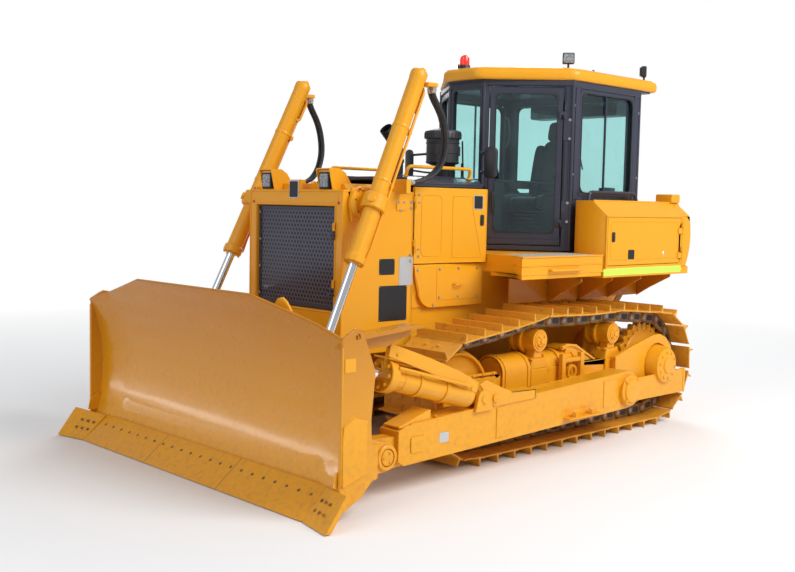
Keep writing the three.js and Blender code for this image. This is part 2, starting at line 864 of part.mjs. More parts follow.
/** Floor under the cab and boxes, with a step deck and an engine side panel on each side. */
function addPlatform() {
  const deck = bothSides([
    [boxFrontX + running, sideHalf],
    [2200, sideHalf],
    [2040, 1060],
    [bayRearX - 5, doorHalfRear + 12],
  ]).toReversed();
  const floor = box(hullRearX + 20, 1040, -sideHalf, sideHalf, skirtBottomZ, boxBottomZ - gap);
  const joint = box(1000, 1100, -sideHalf, sideHalf, deckBottomZ, boxBottomZ - gap);
  const seat = box(cabRearX, 1100, -cabHalf, cabHalf, boxBottomZ - 5, deckTopZ);
  const panel = engineSidePanel();
  const panels = [panel, panel.mirror([0, 1, 0])];
  add("platform", join(upZ(deck, deckBottomZ, deckTopZ), floor, joint, seat, panels), yellow);
}

const doorInset = 4;
const boxDoorX = [boxRearX + 28, 990];
const boxDoorZ = [1585, 2036];
const boxDoorHinge = [boxDoorX[0] - 12, sideHalf + 10];
const boxDoorHingeZ = [boxDoorZ[0] + 50, boxDoorZ[1] - 160];

/** Box beside the cab with a chamfered top edge and front corner, open where its door closes it. */
function addSideBoxes() {
  const outline = [
    [boxRearX, boxInnerY],
    [985, boxInnerY],
    [boxFrontX, 1000],
    [boxFrontX, 1180],
    [1010, sideHalf],
    [boxRearX, sideHalf],
  ];
  const [x, y] = boxDoorHinge;
  const fixed = boxDoorHingeZ.map((z) =>
    join(knuckles(boxDoorHinge, z, ...smallKnuckle).fixed, box(x - 20, x - 5, sideHalf - 2, y + 4, z + 57, z + 108)),
  );
  const body = join(upZ(outline, boxBottomZ, boxTopZ), fixed);
  const chamfer = alongX(
    [
      [1150, boxTopZ],
      [sideHalf + 10, 2040],
      [sideHalf + 10, boxTopZ + 10],
      [1150, boxTopZ + 10],
    ],
    boxRearX - 10,
    boxFrontX + 10,
  );
  const hollow = box(boxDoorX[0], boxDoorX[1], boxInnerY + boxWall, sideHalf + 10, ...boxDoorZ);
  addPair("side_box", cut(body, chamfer, hollow), yellow);
  const door = box(
    boxDoorX[0] + doorInset,
    boxDoorX[1] - doorInset,
    sideHalf - boxWall,
    sideHalf,
    boxDoorZ[0] + doorInset,
    boxDoorZ[1] - doorInset,
  );
  const leaves = boxDoorHingeZ.map((z) =>
    join(
      knuckles(boxDoorHinge, z, ...smallKnuckle).leaf,
      box(x, x + 20, sideHalf + 0.5, y + 4, z, z + 55),
      box(x + 17, x + 70, sideHalf - 1, y + 4, z, z + 55),
    ),
  );
  addPair("side_box_door", join(door, leaves), yellow);
}

/** Fuel tank across the rear, its back face bowed, its centre reaching forward to the cab. */
function addFuelTank() {
  const profile = [
    [boxRearX - 6, boxBottomZ],
    [boxRearX - 6, boxTopZ],
    [-385, boxTopZ],
    ...arc(tankRearX + 620, 1850, 620, 152, 208, 6),
    [-385, boxBottomZ],
  ];
  const cross = acrossY(profile, -sideHalf, sideHalf);
  const chamfers = [1, -1].map((side) => {
    const outline = [
      [side * 1150, boxTopZ],
      [side * (sideHalf + 10), 2040],
      [side * (sideHalf + 10), boxTopZ + 10],
      [side * 1150, boxTopZ + 10],
    ];
    return alongX(side > 0 ? outline : outline.toReversed(), tankRearX - 50, boxRearX + 10);
  });
  const centre = box(boxRearX - 20, cabRearX - 12, -boxInnerY + 15, boxInnerY - 15, boxBottomZ, boxTopZ);
  const neck = bar([-190, 420, boxTopZ - 5], [-190, 420, boxTopZ + 60], 55, 16);
  add("fuel_tank", join(cut(cross, chamfers), centre, neck), yellow);
}

// ---------------------------------------------------------------- cab

const shoulder = [cabShoulderX, cabHalf];
const nose = [cabFrontX, cabFrontHalf];
const rearCorner = [cabRearX, cabHalf];
const cabOutline = bothSides([rearCorner, shoulder, nose]).toReversed();
const doorFaceLength = Math.hypot(cabFrontX - cabShoulderX, cabHalf - cabFrontHalf);

/** A panel in the upright wall from a to b: a stretch of it, a height range and a depth range. */
function wallPanel(a, b, [s0, s1], [z0, z1], [d0, d1]) {
  const along = new THREE.Vector2(b[0] - a[0], b[1] - a[1]).normalize();
  const out = new THREE.Vector2(-along.y, along.x);
  const corner = (s, d) => [a[0] + along.x * s + out.x * d, a[1] + along.y * s + out.y * d];
  return upZ([corner(s0, d0), corner(s0, d1), corner(s1, d1), corner(s1, d0)].toReversed(), z0, z1);
}

const inset = ([from, to], by) => [from + by, to - by];
const doorSpan = [78, doorFaceLength - 50];
const doorZ = [cabFloorZ + 45, cabTopZ - 55];
const doorGlassSpan = inset(doorSpan, 62);
const doorGlassZ = [doorZ[0] + 110, doorZ[1] - 60];
const mirrored = (points) => points.map(([x, y]) => [x, -y]).toReversed();
const windows = {
  front_window: {
    wall: [nose, [cabFrontX, -cabFrontHalf]],
    span: inset([0, 2 * cabFrontHalf], 40),
    z: [2000, cabTopZ - 75],
  },
  rear_window: {
    wall: [[cabRearX, -cabHalf], rearCorner],
    span: inset([0, 2 * cabHalf], 130),
    z: [2250, cabTopZ - 90],
  },
};
const sideWindow = {
  wall: [rearCorner, shoulder],
  span: inset([0, cabShoulderX - cabRearX], 110),
  z: [2230, cabTopZ - 80],
};
const glassDepth = [-22, -22 + glass];
const through = [-cabWall - 40, 40];

function addCabFrame() {
  const shell = cut(
    upZ(cabOutline, cabFloorZ, cabTopZ),
    upZ(grown(cabOutline, -cabWall), cabFloorZ + 45, cabTopZ + 10),
  );
  const holes = Object.values(windows).map(({ wall, span, z }) => wallPanel(...wall, span, z, through));
  const rightDoorSpan = doorSpan.toReversed().map((s) => doorFaceLength - s);
  holes.push(wallPanel(shoulder, nose, doorSpan, doorZ, through));
  holes.push(wallPanel(...mirrored([shoulder, nose]), rightDoorSpan, doorZ, through));
  for (const wall of [sideWindow.wall, mirrored(sideWindow.wall)]) {
    holes.push(wallPanel(...wall, sideWindow.span, sideWindow.z, through));
  }
  add("cab_frame", join(cut(shell, holes), cabKnuckles()), darkGrey);
}

function addCabWindows() {
  for (const [name, { wall, span, z }] of Object.entries(windows)) {
    add(name, wallPanel(...wall, inset(span, gap), inset(z, gap), glassDepth), clearGlass);
  }
  const { wall, span, z } = sideWindow;
  addPair("side_window", wallPanel(...wall, inset(span, gap), inset(z, gap), glassDepth), clearGlass);
}

const cabDoorHingeZ = [doorZ[0] + 180, doorZ[1] - 300];
const cabKnuckle = [70, 10];

/** The point on the door's face at s from the shoulder and d outwards. */
function onDoorFace(s, d) {
  const [ax, ay] = [(nose[0] - shoulder[0]) / doorFaceLength, (nose[1] - shoulder[1]) / doorFaceLength];
  return [shoulder[0] + ax * s - ay * d, shoulder[1] + ay * s + ax * d];
}

const cabDoorHinge = onDoorFace(doorSpan[0] - 8, 12);

/** The fixed knuckles of both cab doors. */
function cabKnuckles() {
  return cabDoorHingeZ.flatMap((z) => {
    const lug = [z + 72, z + 138];
    const left = join(
      knuckles(cabDoorHinge, z, ...cabKnuckle).fixed,
      wallPanel(shoulder, nose, [doorSpan[0] - 30, doorSpan[0] - 14], lug, [-2, 16]),
    );
    return [left, left.mirror([0, 1, 0])];
  });
}

/** A framed door in each slanting front face of the cab. */
function addCabDoors() {
  const face = [shoulder, nose];
  const leaf = wallPanel(...face, inset(doorSpan, 6), inset(doorZ, 6), [-doorThickness, 0]);
  const hole = wallPanel(...face, doorGlassSpan, doorGlassZ, through);
  const straps = cabDoorHingeZ.map((z) =>
    join(
      knuckles(cabDoorHinge, z, ...cabKnuckle).leaf,
      wallPanel(...face, [doorSpan[0] - 8, doorSpan[0] + 10], [z, z + 70], [0.6, 18]),
      wallPanel(...face, [doorSpan[0] + 8, doorSpan[0] + 50], [z, z + 70], [-2, 18]),
    ),
  );
  addPair("cab_door", join(cut(leaf, hole), straps), darkGrey);
  const pane = wallPanel(...face, inset(doorGlassSpan, gap), inset(doorGlassZ, gap), glassDepth);
  addPair("door_glass", pane, clearGlass);
}

/** Roof with an upright rim, a low crown and the beacon on its front. */
function addCabRoof() {
  const rim = bothSides([[-356, 885], [985, 885], [1640, 205]]).toReversed();
  const z = cabTopZ + gap;
  const slab = upZ(rim, z, z + roofEdge);
  const crown = lofted(grown(rim, -8), z + roofEdge - 1, grown(rim, -90), z + roofEdge + roofCrown);
  const beacon = bar([1470, -100, z + roofEdge], [1470, -100, z + roofEdge + roofCrown + beaconHeight], 52, 20);
  add("cab_roof", join(slab, crown, beacon), yellow);
}

function addSeat() {
  const base = box(180, 560, -200, 200, cabFloorZ + 45 + gap, 2060);
  const cushion = box(140, 700, -260, 260, 2050, 2200);
  const back = strut([190, 0, 2150], [60, 0, 2800], 500, 120);
  const head = strut([70, 0, 2780], [40, 0, 2980], 280, 100);
  add("operator_seat", join(base, cushion, back, head), seatCloth);
}

/** Dashboard behind the front window, joined by the floor plate to a console on each side of the seat. */
function addConsole() {
  const floorZ = cabFloorZ + 45 + gap;
  const dash = box(1180, 1420, -180, 180, floorZ, 2350);
  const plate = box(740, 1250, -180, 180, floorZ, floorZ + 12);
  const sideConsoles = [1, -1].map((side) => {
    const edges = [side * 320, side * 560].sort((a, b) => a - b);
    return box(160, 760, ...edges, floorZ, 2260);
  });
  const tie = box(740, 900, -540, 540, floorZ, floorZ + 12);
  add("control_console", join(dash, plate, sideConsoles, tie), black);
}

// ---------------------------------------------------------------- push arms

/** Height of the arm's centre line at x. */
const armZ = (x) => armRearZ + ((armFrontZ - armRearZ) * (x - trunnionX)) / (armFrontX - trunnionX);

/** Box-section arm with a bearing round the trunnion ball and a lug at the blade. */
function pushArm() {
  const half = armHeight / 2;
  const beam = acrossY(
    [
      [trunnionX, trunnionZ - 165],
      [armFrontX - 60, armZ(armFrontX) - half + 20],
      [armFrontX, armZ(armFrontX) - half + 60],
      [armFrontX, armZ(armFrontX) + half - 30],
      [armFrontX - 90, armZ(armFrontX) + half],
      [trunnionX, trunnionZ + 175],
      ...arc(trunnionX, trunnionZ, 170, 90, 270, 7).slice(1, -1),
    ],
    armInnerY,
    armOuterY,
  );
  const lug = acrossY(
    [
      ...arc(armJointX, armJointZ, 120, -90, 90, 7),
      [armFrontX - 100, armJointZ + 110],
      [armFrontX - 100, armJointZ - 110],
    ],
    armJointY - armLug / 2,
    armJointY + armLug / 2,
  );
  const bearing = axle(trunnionX, trunnionZ, armInnerY - 10, armOuterY - 20, trunnionBallRadius + 1, 16);
  const socketRadius = jointBallRadius + socketPlay;
  const socket = axle(armJointX + 0.7, armJointZ, armJointY - armLug, armJointY + armLug, socketRadius, 24);
  const cap = axle(trunnionX, trunnionZ, armOuterY - 5, armOuterY + 22, 135, 14);
  return cut(join(beam, lug, cap), bearing, socket);
}

/** Two ears on the arm's top for the tilt cylinder or the brace, with their pin. */
function armBracket() {
  const [x, y, z] = tiltRear;
  const foot = armZ(x) + armHeight / 2 - 25;
  const outline = [
    [x - 110, foot],
    [x + 100, foot],
    ...arc(x, z, 75, 0, 180, 6),
  ];
  const ears = [-80, 50].map((offset) => acrossY(outline, y + offset, y + offset + 30));
  const ballProfile = [
    [0, -20],
    [34, -20],
    [eyeBore - 0.6, 0],
    [34, 20],
    [0, 20],
  ];
  const ball = turned(ballProfile, [x, y, z], [x, y + 1, z], 24);
  return join(ears[0], ears[1], axle(x, z, y - 90, y + 90, 32, 12), ball);
}

function addPushArms() {
  const arm = join(pushArm(), armBracket());
  addPair("push_arm", arm, yellow);
}

/** Ball that an arm turns on, so that it can follow the tilted blade. */
function addTrunnionBalls() {
  const ring = cut(
    axle(trunnionX, trunnionZ, armInnerY + 30, armOuterY - 60, trunnionBallRadius, 16),
    axle(trunnionX, trunnionZ, armInnerY, armOuterY, trunnionPinRadius + 3, 16),
  );
  addPair("trunnion_ball", ring, trackSteel);
}

// ---------------------------------------------------------------- blade

/** Blade section in X and Z: the curved face and, behind it, the skin's back. */
function moldboardOutline() {
  const centreX = bladeFaceX + bladeRadius;
  const angleOf = (z) => 180 - (Math.asin((z - bladeFaceZ) / bladeRadius) * 180) / Math.PI;
  const [low, high] = [angleOf(300), angleOf(bladeCrestZ)];
  const back = arc(centreX, bladeFaceZ, bladeRadius + bladeSkin, high, low, 6);
  const face = arc(centreX, bladeFaceZ, bladeRadius, low, high, 6);
  return [...back, [edgeTop[0] - 50, 150], [edgeTop[0] - 12, 182], ...face];
}

/** The skin in three lengths, the outer two turned forward, trimmed to the crest's outline. */
function moldboard() {
  const outline = moldboardOutline();
  const middle = acrossY(outline, -wingStart - 1, wingStart + 1);
  const wing = (side) => {
    const shear = Math.tan(radians(wingTurn)) * side;
    const matrix = new THREE.Matrix4().makeShear(0, 0, shear, 0, 0, 0);
    matrix.setPosition(-shear * side * wingStart, 0, 0);
    const [y0, y1] = [side * wingStart, side * bladeHalf].sort((a, b) => a - b);
    const geometry = extruded(outline, [], y1 - y0).rotateX(Math.PI / 2).translate(0, y1, 0);
    return solid(geometry.applyMatrix4(matrix));
  };
  const crest = alongX(
    [
      [-bladeHalf, 100],
      [bladeHalf, 100],
      [bladeHalf, bladeCornerZ],
      [bladeCrestHalf, bladeCrestZ],
      [-bladeCrestHalf, bladeCrestZ],
      [-bladeHalf, bladeCornerZ],
    ],
    4100,
    4900,
  );
  return join(middle, wing(1), wing(-1)).intersect(crest);
}

/** End plate, with its lifting hole. */
function endPlate(side) {
  const edges = [side * (bladeHalf - 22), side * bladeHalf].sort((a, b) => a - b);
  return acrossY(
    [
      [4232, 250],
      [4330, 150],
      [4500, 70],
      [4528, 225],
      [4520, bladeCornerZ + 10],
      [4440, 1272],
      [4396, 1290],
      [4345, 1280],
      [4223, 986],
      [4255, 666],
    ],
    ...edges,
    [circle(4385, 1234, 22, 8).toReversed()],
  );
}

/** Ears on the blade's back for the ball joint of one push arm, with the pin and its ball. */
function ballJointEars(side) {
  const y = side * armJointY;
  const outline = [
    ...arc(armJointX, armJointZ, 105, 90, 270, 5),
    [4335, armJointZ - 105],
    [4335, armJointZ + 150],
    [4100, armJointZ + 150],
  ];
  const near = y - earGap / 2;
  const far = y + earGap / 2;
  const ears = [acrossY(outline, near - 40, near), acrossY(outline, far, far + 40)];
  const pin = axle(armJointX, armJointZ, near - 50, far + 50, 42, 12);
  const ball = turned(
    [
      [0, -45],
      [42, -44],
      [jointBallRadius, 0],
      [42, 44],
      [0, 45],
    ],
    [armJointX, y, armJointZ],
    [armJointX, y + 1, armJointZ],
    24,
  );
  return join(ears[0], ears[1], pin, ball);
}

/** Ears with a hole that a cylinder's own pin passes through with play. */
function pinEars([x, y, z], inner, thickness, hole, reach) {
  const outline = [...arc(x, z, 100, 90, 270, 5), [reach, z - 130], [reach, z + 130]];
  const ears = [y - inner - thickness, y + inner].map((start) => acrossY(outline, start, start + thickness));
  return cut(join(ears[0], ears[1]), axle(x, z, y - inner - 60, y + inner + 60, hole, 10));
}

/** Bent guard over the tilt cylinder's head, on the blade's back: a top plate and its outer side. */
function headGuard() {
  const top = [
    [4380, 1205],
    [4380, 1240],
    [3850, 1278],
    [3770, 1270],
    [3770, 1245],
    [3860, 1248],
  ];
  const outer = [
    [4380, 1120],
    [4380, 1220],
    [3850, 1260],
    [3775, 1255],
    [3775, 1200],
    [4009, 1127],
  ];
  return [acrossY(top, 1580, bladeHalf - 10), acrossY(outer, 1580, 1596)];
}

/** Two box channels across the blade's back. */
function backChannels() {
  const half = bladeHalf - 10;
  const upper = [
    [4385, 1130],
    [4300, 1110],
    [4268, 1050],
    [4268, 880],
    [4345, 820],
  ];
  const lower = [
    [4345, 520],
    [4180, 480],
    [4180, 250],
    [4400, 190],
  ];
  return [acrossY(upper, -half, half), acrossY(lower, -half, half)];
}

function addBlade() {
  const mirror = ([x, y, z]) => [x, -y, z];
  const pieces = [
    endPlate(1),
    endPlate(-1),
    backChannels(),
    ballJointEars(1),
    ballJointEars(-1),
    pinEars(liftEye, 68, 20, 70, 4345),
    pinEars(mirror(liftEye), 68, 20, 70, 4345),
    pinEars(tiltFront, 58, 26, 64, 4300),
    pinEars(mirror(tiltFront), 58, 26, 64, 4300),
    headGuard(),
  ].flat();
  const bits = [1, -1].map((side) => endBit(side, gap, 160));
  add("blade", cut(join(moldboard(), pieces), edgeBed(), bits), yellow);
}

/** The space of the cutting edge and all before it, with the gap behind the edge. */
function edgeBed() {
  const [back, foot] = edgeBack(gap);
  const above = [edgeTop[0], edgeTop[1] + gap];
  return acrossY([back, [foot[0], foot[1] - 60], [4900, -60], [4900, 300], above], -edgeHalf, edgeHalf);
}

/** The cutting edge's back line: its top and its foot on the ground side. */
function edgeBack(extra = 0) {
  const slope = new THREE.Vector2(edgeTip[0] - edgeTop[0], edgeTip[1] - edgeTop[1]).normalize();
  const depth = edgeThickness + extra;
  return [edgeTop, edgeTip].map(([x, z]) => [x + slope.y * depth, z - slope.x * depth]);
}

/** Wear edge bolted along the foot of the face. */
function addCuttingEdge() {
  const [back] = edgeBack();
  const outline = [edgeTop, back, [edgeTip[0] - edgeThickness * 1.5, edgeTip[1]], edgeTip];
  const inner = edgeHalf - gap;
  add("cutting_edge", acrossY(outline, -inner, inner), yellow);
}

/** Flared corner bit: four corners of its face made a plate, `ahead` and `extra` for its clearance. */
function endBit(side, extra = -gap, ahead = 0) {
  const inner = edgeHalf - extra;
  const outer = bitHalf + extra;
  const face = [
    [edgeTop[0] + 22, inner, edgeTop[1]],
    [edgeTip[0], inner, edgeTip[1]],
    [bitTipX, outer, edgeTip[1]],
    [4590, outer, 236],
  ];
  const front = face.map(([x, y, z]) => [x + 0.8 * ahead, y, z + ahead]);
  const behind = Math.max(extra, 0);
  const back = face.map(([x, y, z], i) =>
    i === 1 || i === 2 ? [x - 50 - 2 * behind, y, z - behind] : [x - 26 - behind, y, z - 30 - behind],
  );
  const faces = [
    [0, 1, 2],
    [0, 2, 3],
    [4, 6, 5],
    [4, 7, 6],
  ];
  for (let i = 0; i < 4; i++) {
    const j = (i + 1) % 4;
    faces.push([i, i + 4, j + 4], [i, j + 4, j]);
  }
  const points = [...front, ...back].map(([x, y, z]) => [x, side * y, z]);
  return solid(meshOf(points, side > 0 ? faces : faces.map((f) => f.toReversed())));
}

function addEndBits() {
  addPair("end_bit", endBit(1), yellow);
}

// ---------------------------------------------------------------- cylinders

/** The point at a distance from the yoke's centre along the barrel's cross pin. */
const onCrossPin = (distance) => towards(liftYoke, liftYoke.map((value, i) => value + liftCross[i]), distance);

/** The ring that carries a lift cylinder, on its pin in the radiator guard. */
function addLiftYokes() {
  const along = (distance) => towards(liftYoke, liftTop, distance);
  const ring = bar(along(-yokeHalf), along(yokeHalf), yokeRadius, 18);
  const pin = axle(liftYoke[0], liftYoke[2], 645, liftYoke[1] - 85, liftPinRadius, 12);
  const opening = bar(along(-yokeHalf - 10), along(yokeHalf + 10), liftBarrelRadius + 9, 18);
  const holes = bar(onCrossPin(-yokeRadius - 10), onCrossPin(yokeRadius + 10), liftCrossRadius + 1, 10);
  addPair("lift_yoke", cut(join(ring, pin), opening, holes), yellow);
}

/** A lift cylinder's barrel with its head and its cross pin's two stubs. */
function addLiftCylinders() {
  const barrel = bar(liftGland, liftTop, liftBarrelRadius, 16);
  const head = bar(liftGland, towards(liftGland, liftTop, 60), liftBarrelRadius + 12, 16);
  const pin = bar(onCrossPin(-yokeRadius + 3), onCrossPin(yokeRadius - 3), liftCrossRadius, 10);
  const [hoseX, hoseY, hoseZ] = hoseRoute.at(-1);
  const portY = [hoseY - 25, hoseY + hosePitch + 25];
  const port = box(hoseX - 25, liftTop[0] + 10, ...portY, hoseZ + gap, hoseZ + 35);
  const reach = [-20, liftBore].map((distance) => towards(liftGland, liftTop, distance));
  const bore = bar(...reach, liftRodRadius + 1, 16);
  addPair("lift_cylinder", cut(join(barrel, head, pin, port), bore), yellow);
}

/** The piston behind a lift rod's end. */
function addLiftPistons() {
  const at = (distance) => towards(liftGland, liftTop, liftRodInside + distance);
  const piston = bar(at(pistonSetback), at(pistonSetback + pistonLength), liftRodRadius + 0.5, 16);
  addPair("lift_piston", piston, trackSteel);
}

/** A lift rod with its eye and the pin through the blade's ears. */
function addLiftRods() {
  const inside = towards(liftGland, liftTop, liftRodInside);
  const [x, y, z] = liftEye;
  const rod = bar(towards(liftEye, liftTop, 50), inside, liftRodRadius, 16);
  const eye = axle(x, z, y - 28, y + 28, 68, 16);
  const pin = axle(x, z, y - 132, y + 132, 26, 10);
  const keepers = [-132, 119].map((offset) => axle(x, z, y + offset, y + offset + 13, 84, 16));
  addPair("lift_rod", join(rod, eye, pin, keepers), chrome);
}

/** Tilt cylinder barrel with its bolted head and the guard plate over it. */
function addTiltCylinder() {
  const at = (distance) => towards(tiltRear, tiltFront, distance);
  const barrel = bar(at(130), at(tiltGland), tiltBarrelRadius, 16);
  const head = bar(at(tiltGland - 75), at(tiltGland), tiltBarrelRadius + 30, 16);
  const lug = axle(tiltRear[0], tiltRear[2], tiltRear[1] - 42, tiltRear[1] + 42, 60, 12);
  const neck = bar(tiltRear, at(140), 42, 12);
  const eye = axle(tiltRear[0], tiltRear[2], tiltRear[1] - 60, tiltRear[1] + 60, eyeBore, 24);
  const lift = [0, 0, 128];
  const raised = (distance) => at(distance).map((value, i) => value + lift[i]);
  const guard = strut(raised(150), raised(tiltGland - 5), 170, 16);
  const stands = [300, tiltGland - 40].map((d) => bar(at(d), raised(d), 30, 8));
  const bore = bar(at(tiltGland + 20), at(tiltGland - 700), tiltRodRadius + 1, 16);
  add("tilt_cylinder", cut(join(barrel, head, lug, neck, guard, stands), bore, eye), yellow);
}

function addTiltRod() {
  const [x, y, z] = tiltFront;
  const at = (distance) => towards(tiltRear, tiltFront, distance);
  const rod = bar(towards(tiltFront, tiltRear, 40), at(tiltGland - tiltRodInside), tiltRodRadius, 16);
  const eye = axle(x, z, y - 32, y + 32, 72, 16);
  const pin = axle(x, z, y - 112, y + 112, 30, 10);
  const keepers = [-112, 98].map((offset) => axle(x, z, y + offset, y + offset + 14, 68, 16));
  add("tilt_rod", join(rod, eye, pin, keepers), chrome);
}

/** Right-hand strut that keeps the blade's pitch. */
function addBladeBrace() {
  const mirror = ([x, y, z]) => [x, -y, z];
  const rear = mirror(tiltRear);
  const front = mirror(tiltFront);
  const at = (distance) => towards(rear, front, distance);
  const length = vector(rear).distanceTo(vector(front));
  const tube = bar(at(130), at(length - 130), braceRadius, 12);
  const necks = [bar(rear, at(140), 42, 12), bar(at(length - 140), at(length - 50), 42, 12)];
  const sleeve = bar(at(260), at(length - 380), braceRadius + 18, 12);
  const [x, y, z] = front;
  const rearLug = axle(rear[0], rear[2], rear[1] - 42, rear[1] + 42, 60, 12);
  const frontEye = axle(x, z, y - 32, y + 32, 72, 14);
  const pin = axle(x, z, y - 112, y + 112, 30, 10);
  const keepers = [-112, 98].map((offset) => axle(x, z, y + offset, y + offset + 14, 68, 14));
  const bore = axle(rear[0], rear[2], rear[1] - 60, rear[1] + 60, eyeBore, 24);
  add("blade_brace", cut(join(tube, sleeve, necks, rearLug, frontEye, pin, keepers), bore), yellow);
}

// ---------------------------------------------------------------- hoses

/** Two hoses side by side from the guard's shoulder to the top of a lift cylinder, clipped together. */
function addLiftHoses() {
  const shifted = (dy) => hoseRoute.map(([x, y, z]) => [x, y + dy, z]);
  const clip = box(2640, 2690, 745, 835, 2610, 2640);
  addPair("lift_hoses", join(hose(shifted(0), hoseRadius), hose(shifted(hosePitch), hoseRadius), clip), rubber);
}

addTracks();
addSprockets();
addIdlers();
addTrackRollers();
addTrackFrames();
addMainFrame();
addEngine();
addRadiator();
addRadiatorGuard();
addGrilleDoor();
addEngineDoors();
addEngineHood();
addRearCowl();
addExhaust();
addPrecleaner();
addPlatform();
addSideBoxes();
addFuelTank();
addCabFrame();
addCabWindows();
addCabDoors();
addCabRoof();
addSeat();
addConsole();
addPushArms();
addTrunnionBalls();
addBlade();
addCuttingEdge();
addEndBits();
addLiftYokes();
addLiftCylinders();
addLiftPistons();
addLiftRods();
addTiltCylinder();
addTiltRod();
addBladeBrace();
addLiftHoses();

export default machine;
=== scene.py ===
"""Crawler dozer: finishes and fine detail over the fixed CAD frame. Lengths are worked out in millimetres
in the machine's own frame (X forward from the sprocket axle, Y to the left, Z up from the ground)."""

import json
from math import atan2, cos, pi, radians, sin, sqrt

import bpy
import numpy as np
from mathutils import Matrix

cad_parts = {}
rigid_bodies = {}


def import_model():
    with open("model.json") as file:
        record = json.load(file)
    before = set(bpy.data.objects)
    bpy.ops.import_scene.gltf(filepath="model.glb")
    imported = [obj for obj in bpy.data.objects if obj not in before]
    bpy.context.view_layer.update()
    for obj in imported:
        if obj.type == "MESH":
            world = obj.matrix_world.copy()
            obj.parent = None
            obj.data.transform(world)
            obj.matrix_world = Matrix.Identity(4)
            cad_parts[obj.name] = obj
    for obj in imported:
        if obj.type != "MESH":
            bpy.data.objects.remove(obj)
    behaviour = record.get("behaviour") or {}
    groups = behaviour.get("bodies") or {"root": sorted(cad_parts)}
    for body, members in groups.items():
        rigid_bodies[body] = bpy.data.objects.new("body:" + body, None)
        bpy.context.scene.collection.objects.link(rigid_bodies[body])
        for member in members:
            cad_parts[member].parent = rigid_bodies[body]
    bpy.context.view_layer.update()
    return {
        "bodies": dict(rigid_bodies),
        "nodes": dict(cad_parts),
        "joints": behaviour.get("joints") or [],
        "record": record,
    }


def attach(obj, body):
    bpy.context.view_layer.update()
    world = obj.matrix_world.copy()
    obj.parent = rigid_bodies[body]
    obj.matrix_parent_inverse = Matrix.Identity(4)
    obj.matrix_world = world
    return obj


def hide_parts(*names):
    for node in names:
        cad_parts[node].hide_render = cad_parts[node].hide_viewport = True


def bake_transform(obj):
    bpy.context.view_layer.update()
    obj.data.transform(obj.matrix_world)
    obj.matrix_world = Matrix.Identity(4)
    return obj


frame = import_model()
nodes = frame["nodes"]

ORIGIN = np.array([1932.0, 0.0, 0.0])  # the row frame's origin in the machine's frame
SIDES = (("left_", 1), ("right_", -1))


# ---------------------------------------------------------------- camera, light and floor


def point_camera():
    """Camera at the front left, a little above the blade: axes from yaw, pitch and roll."""
    yaw, pitch, roll = -2.335, 0.079, 0.021
    ahead = np.array([cos(yaw) * cos(pitch), sin(yaw) * cos(pitch), -sin(pitch)])
    right = np.array([sin(yaw), -cos(yaw), 0.0])
    up = np.cross(right, ahead)
    across = cos(roll) * right + sin(roll) * up
    upward = -sin(roll) * right + cos(roll) * up
    data = bpy.data.cameras.new("camera")
    data.lens = 47.284
    data.sensor_width = 36
    camera = bpy.data.objects.new("camera", data)
    bpy.context.scene.collection.objects.link(camera)
    place = Matrix.Identity(4)
    for row in range(3):
        place[row][0], place[row][1], place[row][2] = across[row], upward[row], -ahead[row]
    place[0][3], place[1][3], place[2][3] = 6.996425, 6.815175, 2.116945
    camera.matrix_world = place
    bpy.context.scene.camera = camera


def area_light(name, place, target, size, power, tall=None):
    """Soft light at place, turned to face target: square, or a strip of a given height."""
    data = bpy.data.lights.new(name, "AREA")
    data.size, data.energy = size, power
    if tall is not None:
        data.shape, data.size_y = "RECTANGLE", tall
    lamp = bpy.data.objects.new(name, data)
    bpy.context.scene.collection.objects.link(lamp)
    away = np.array(place, float) - np.array(target, float)
    away /= np.linalg.norm(away)
    side = np.cross([0, 0, 1], away)
    side /= np.linalg.norm(side)
    up = np.cross(away, side)
    m = Matrix.Identity(4)
    for row in range(3):
        m[row][0], m[row][1], m[row][2], m[row][3] = side[row], up[row], away[row], place[row]
    lamp.matrix_world = m


def light_studio():
    """Big key light on the left, weak front fill, low strip before the blade, back light and a pale world."""
    area_light("key", (-1.5, 9.0, 8.5), (0, 0, 1.2), 6.0, 1020)
    area_light("front_fill", (9.5, 1.0, 6.0), (0, 0, 1.2), 6.0, 170)
    area_light("blade_strip", (8.4, -8.2, 0.40), (2.4, 0, 0.5), 7.0, 70, tall=0.3)
    area_light("back_fill", (-8.0, -7.0, 7.0), (0, 0, 1.2), 6.0, 500)
    bpy.context.scene.view_settings.view_transform = "Standard"
    world = bpy.data.worlds.new("studio")
    bpy.context.scene.world = world
    world.use_nodes = True
    tree = world.node_tree
    tree.nodes.clear()
    out = tree.nodes.new("ShaderNodeOutputWorld")
    seen = tree.nodes.new("ShaderNodeBackground")
    seen.inputs["Color"].default_value = (1, 1, 1, 1)
    seen.inputs["Strength"].default_value = 1.0
    lit = tree.nodes.new("ShaderNodeBackground")
    lit.inputs["Color"].default_value = (0.93, 0.96, 1.0, 1)
    lit.inputs["Strength"].default_value = 0.46
    path = tree.nodes.new("ShaderNodeLightPath")
    either = tree.nodes.new("ShaderNodeMath")
    either.operation = "MAXIMUM"
    tree.links.new(path.outputs["Is Camera Ray"], either.inputs[0])
    tree.links.new(path.outputs["Is Transmission Ray"], either.inputs[1])
    mix = tree.nodes.new("ShaderNodeMixShader")
    tree.links.new(either.outputs[0], mix.inputs[0])
    tree.links.new(lit.outputs[0], mix.inputs[1])
    tree.links.new(seen.outputs[0], mix.inputs[2])
    tree.links.new(mix.outputs[0], out.inputs[0])


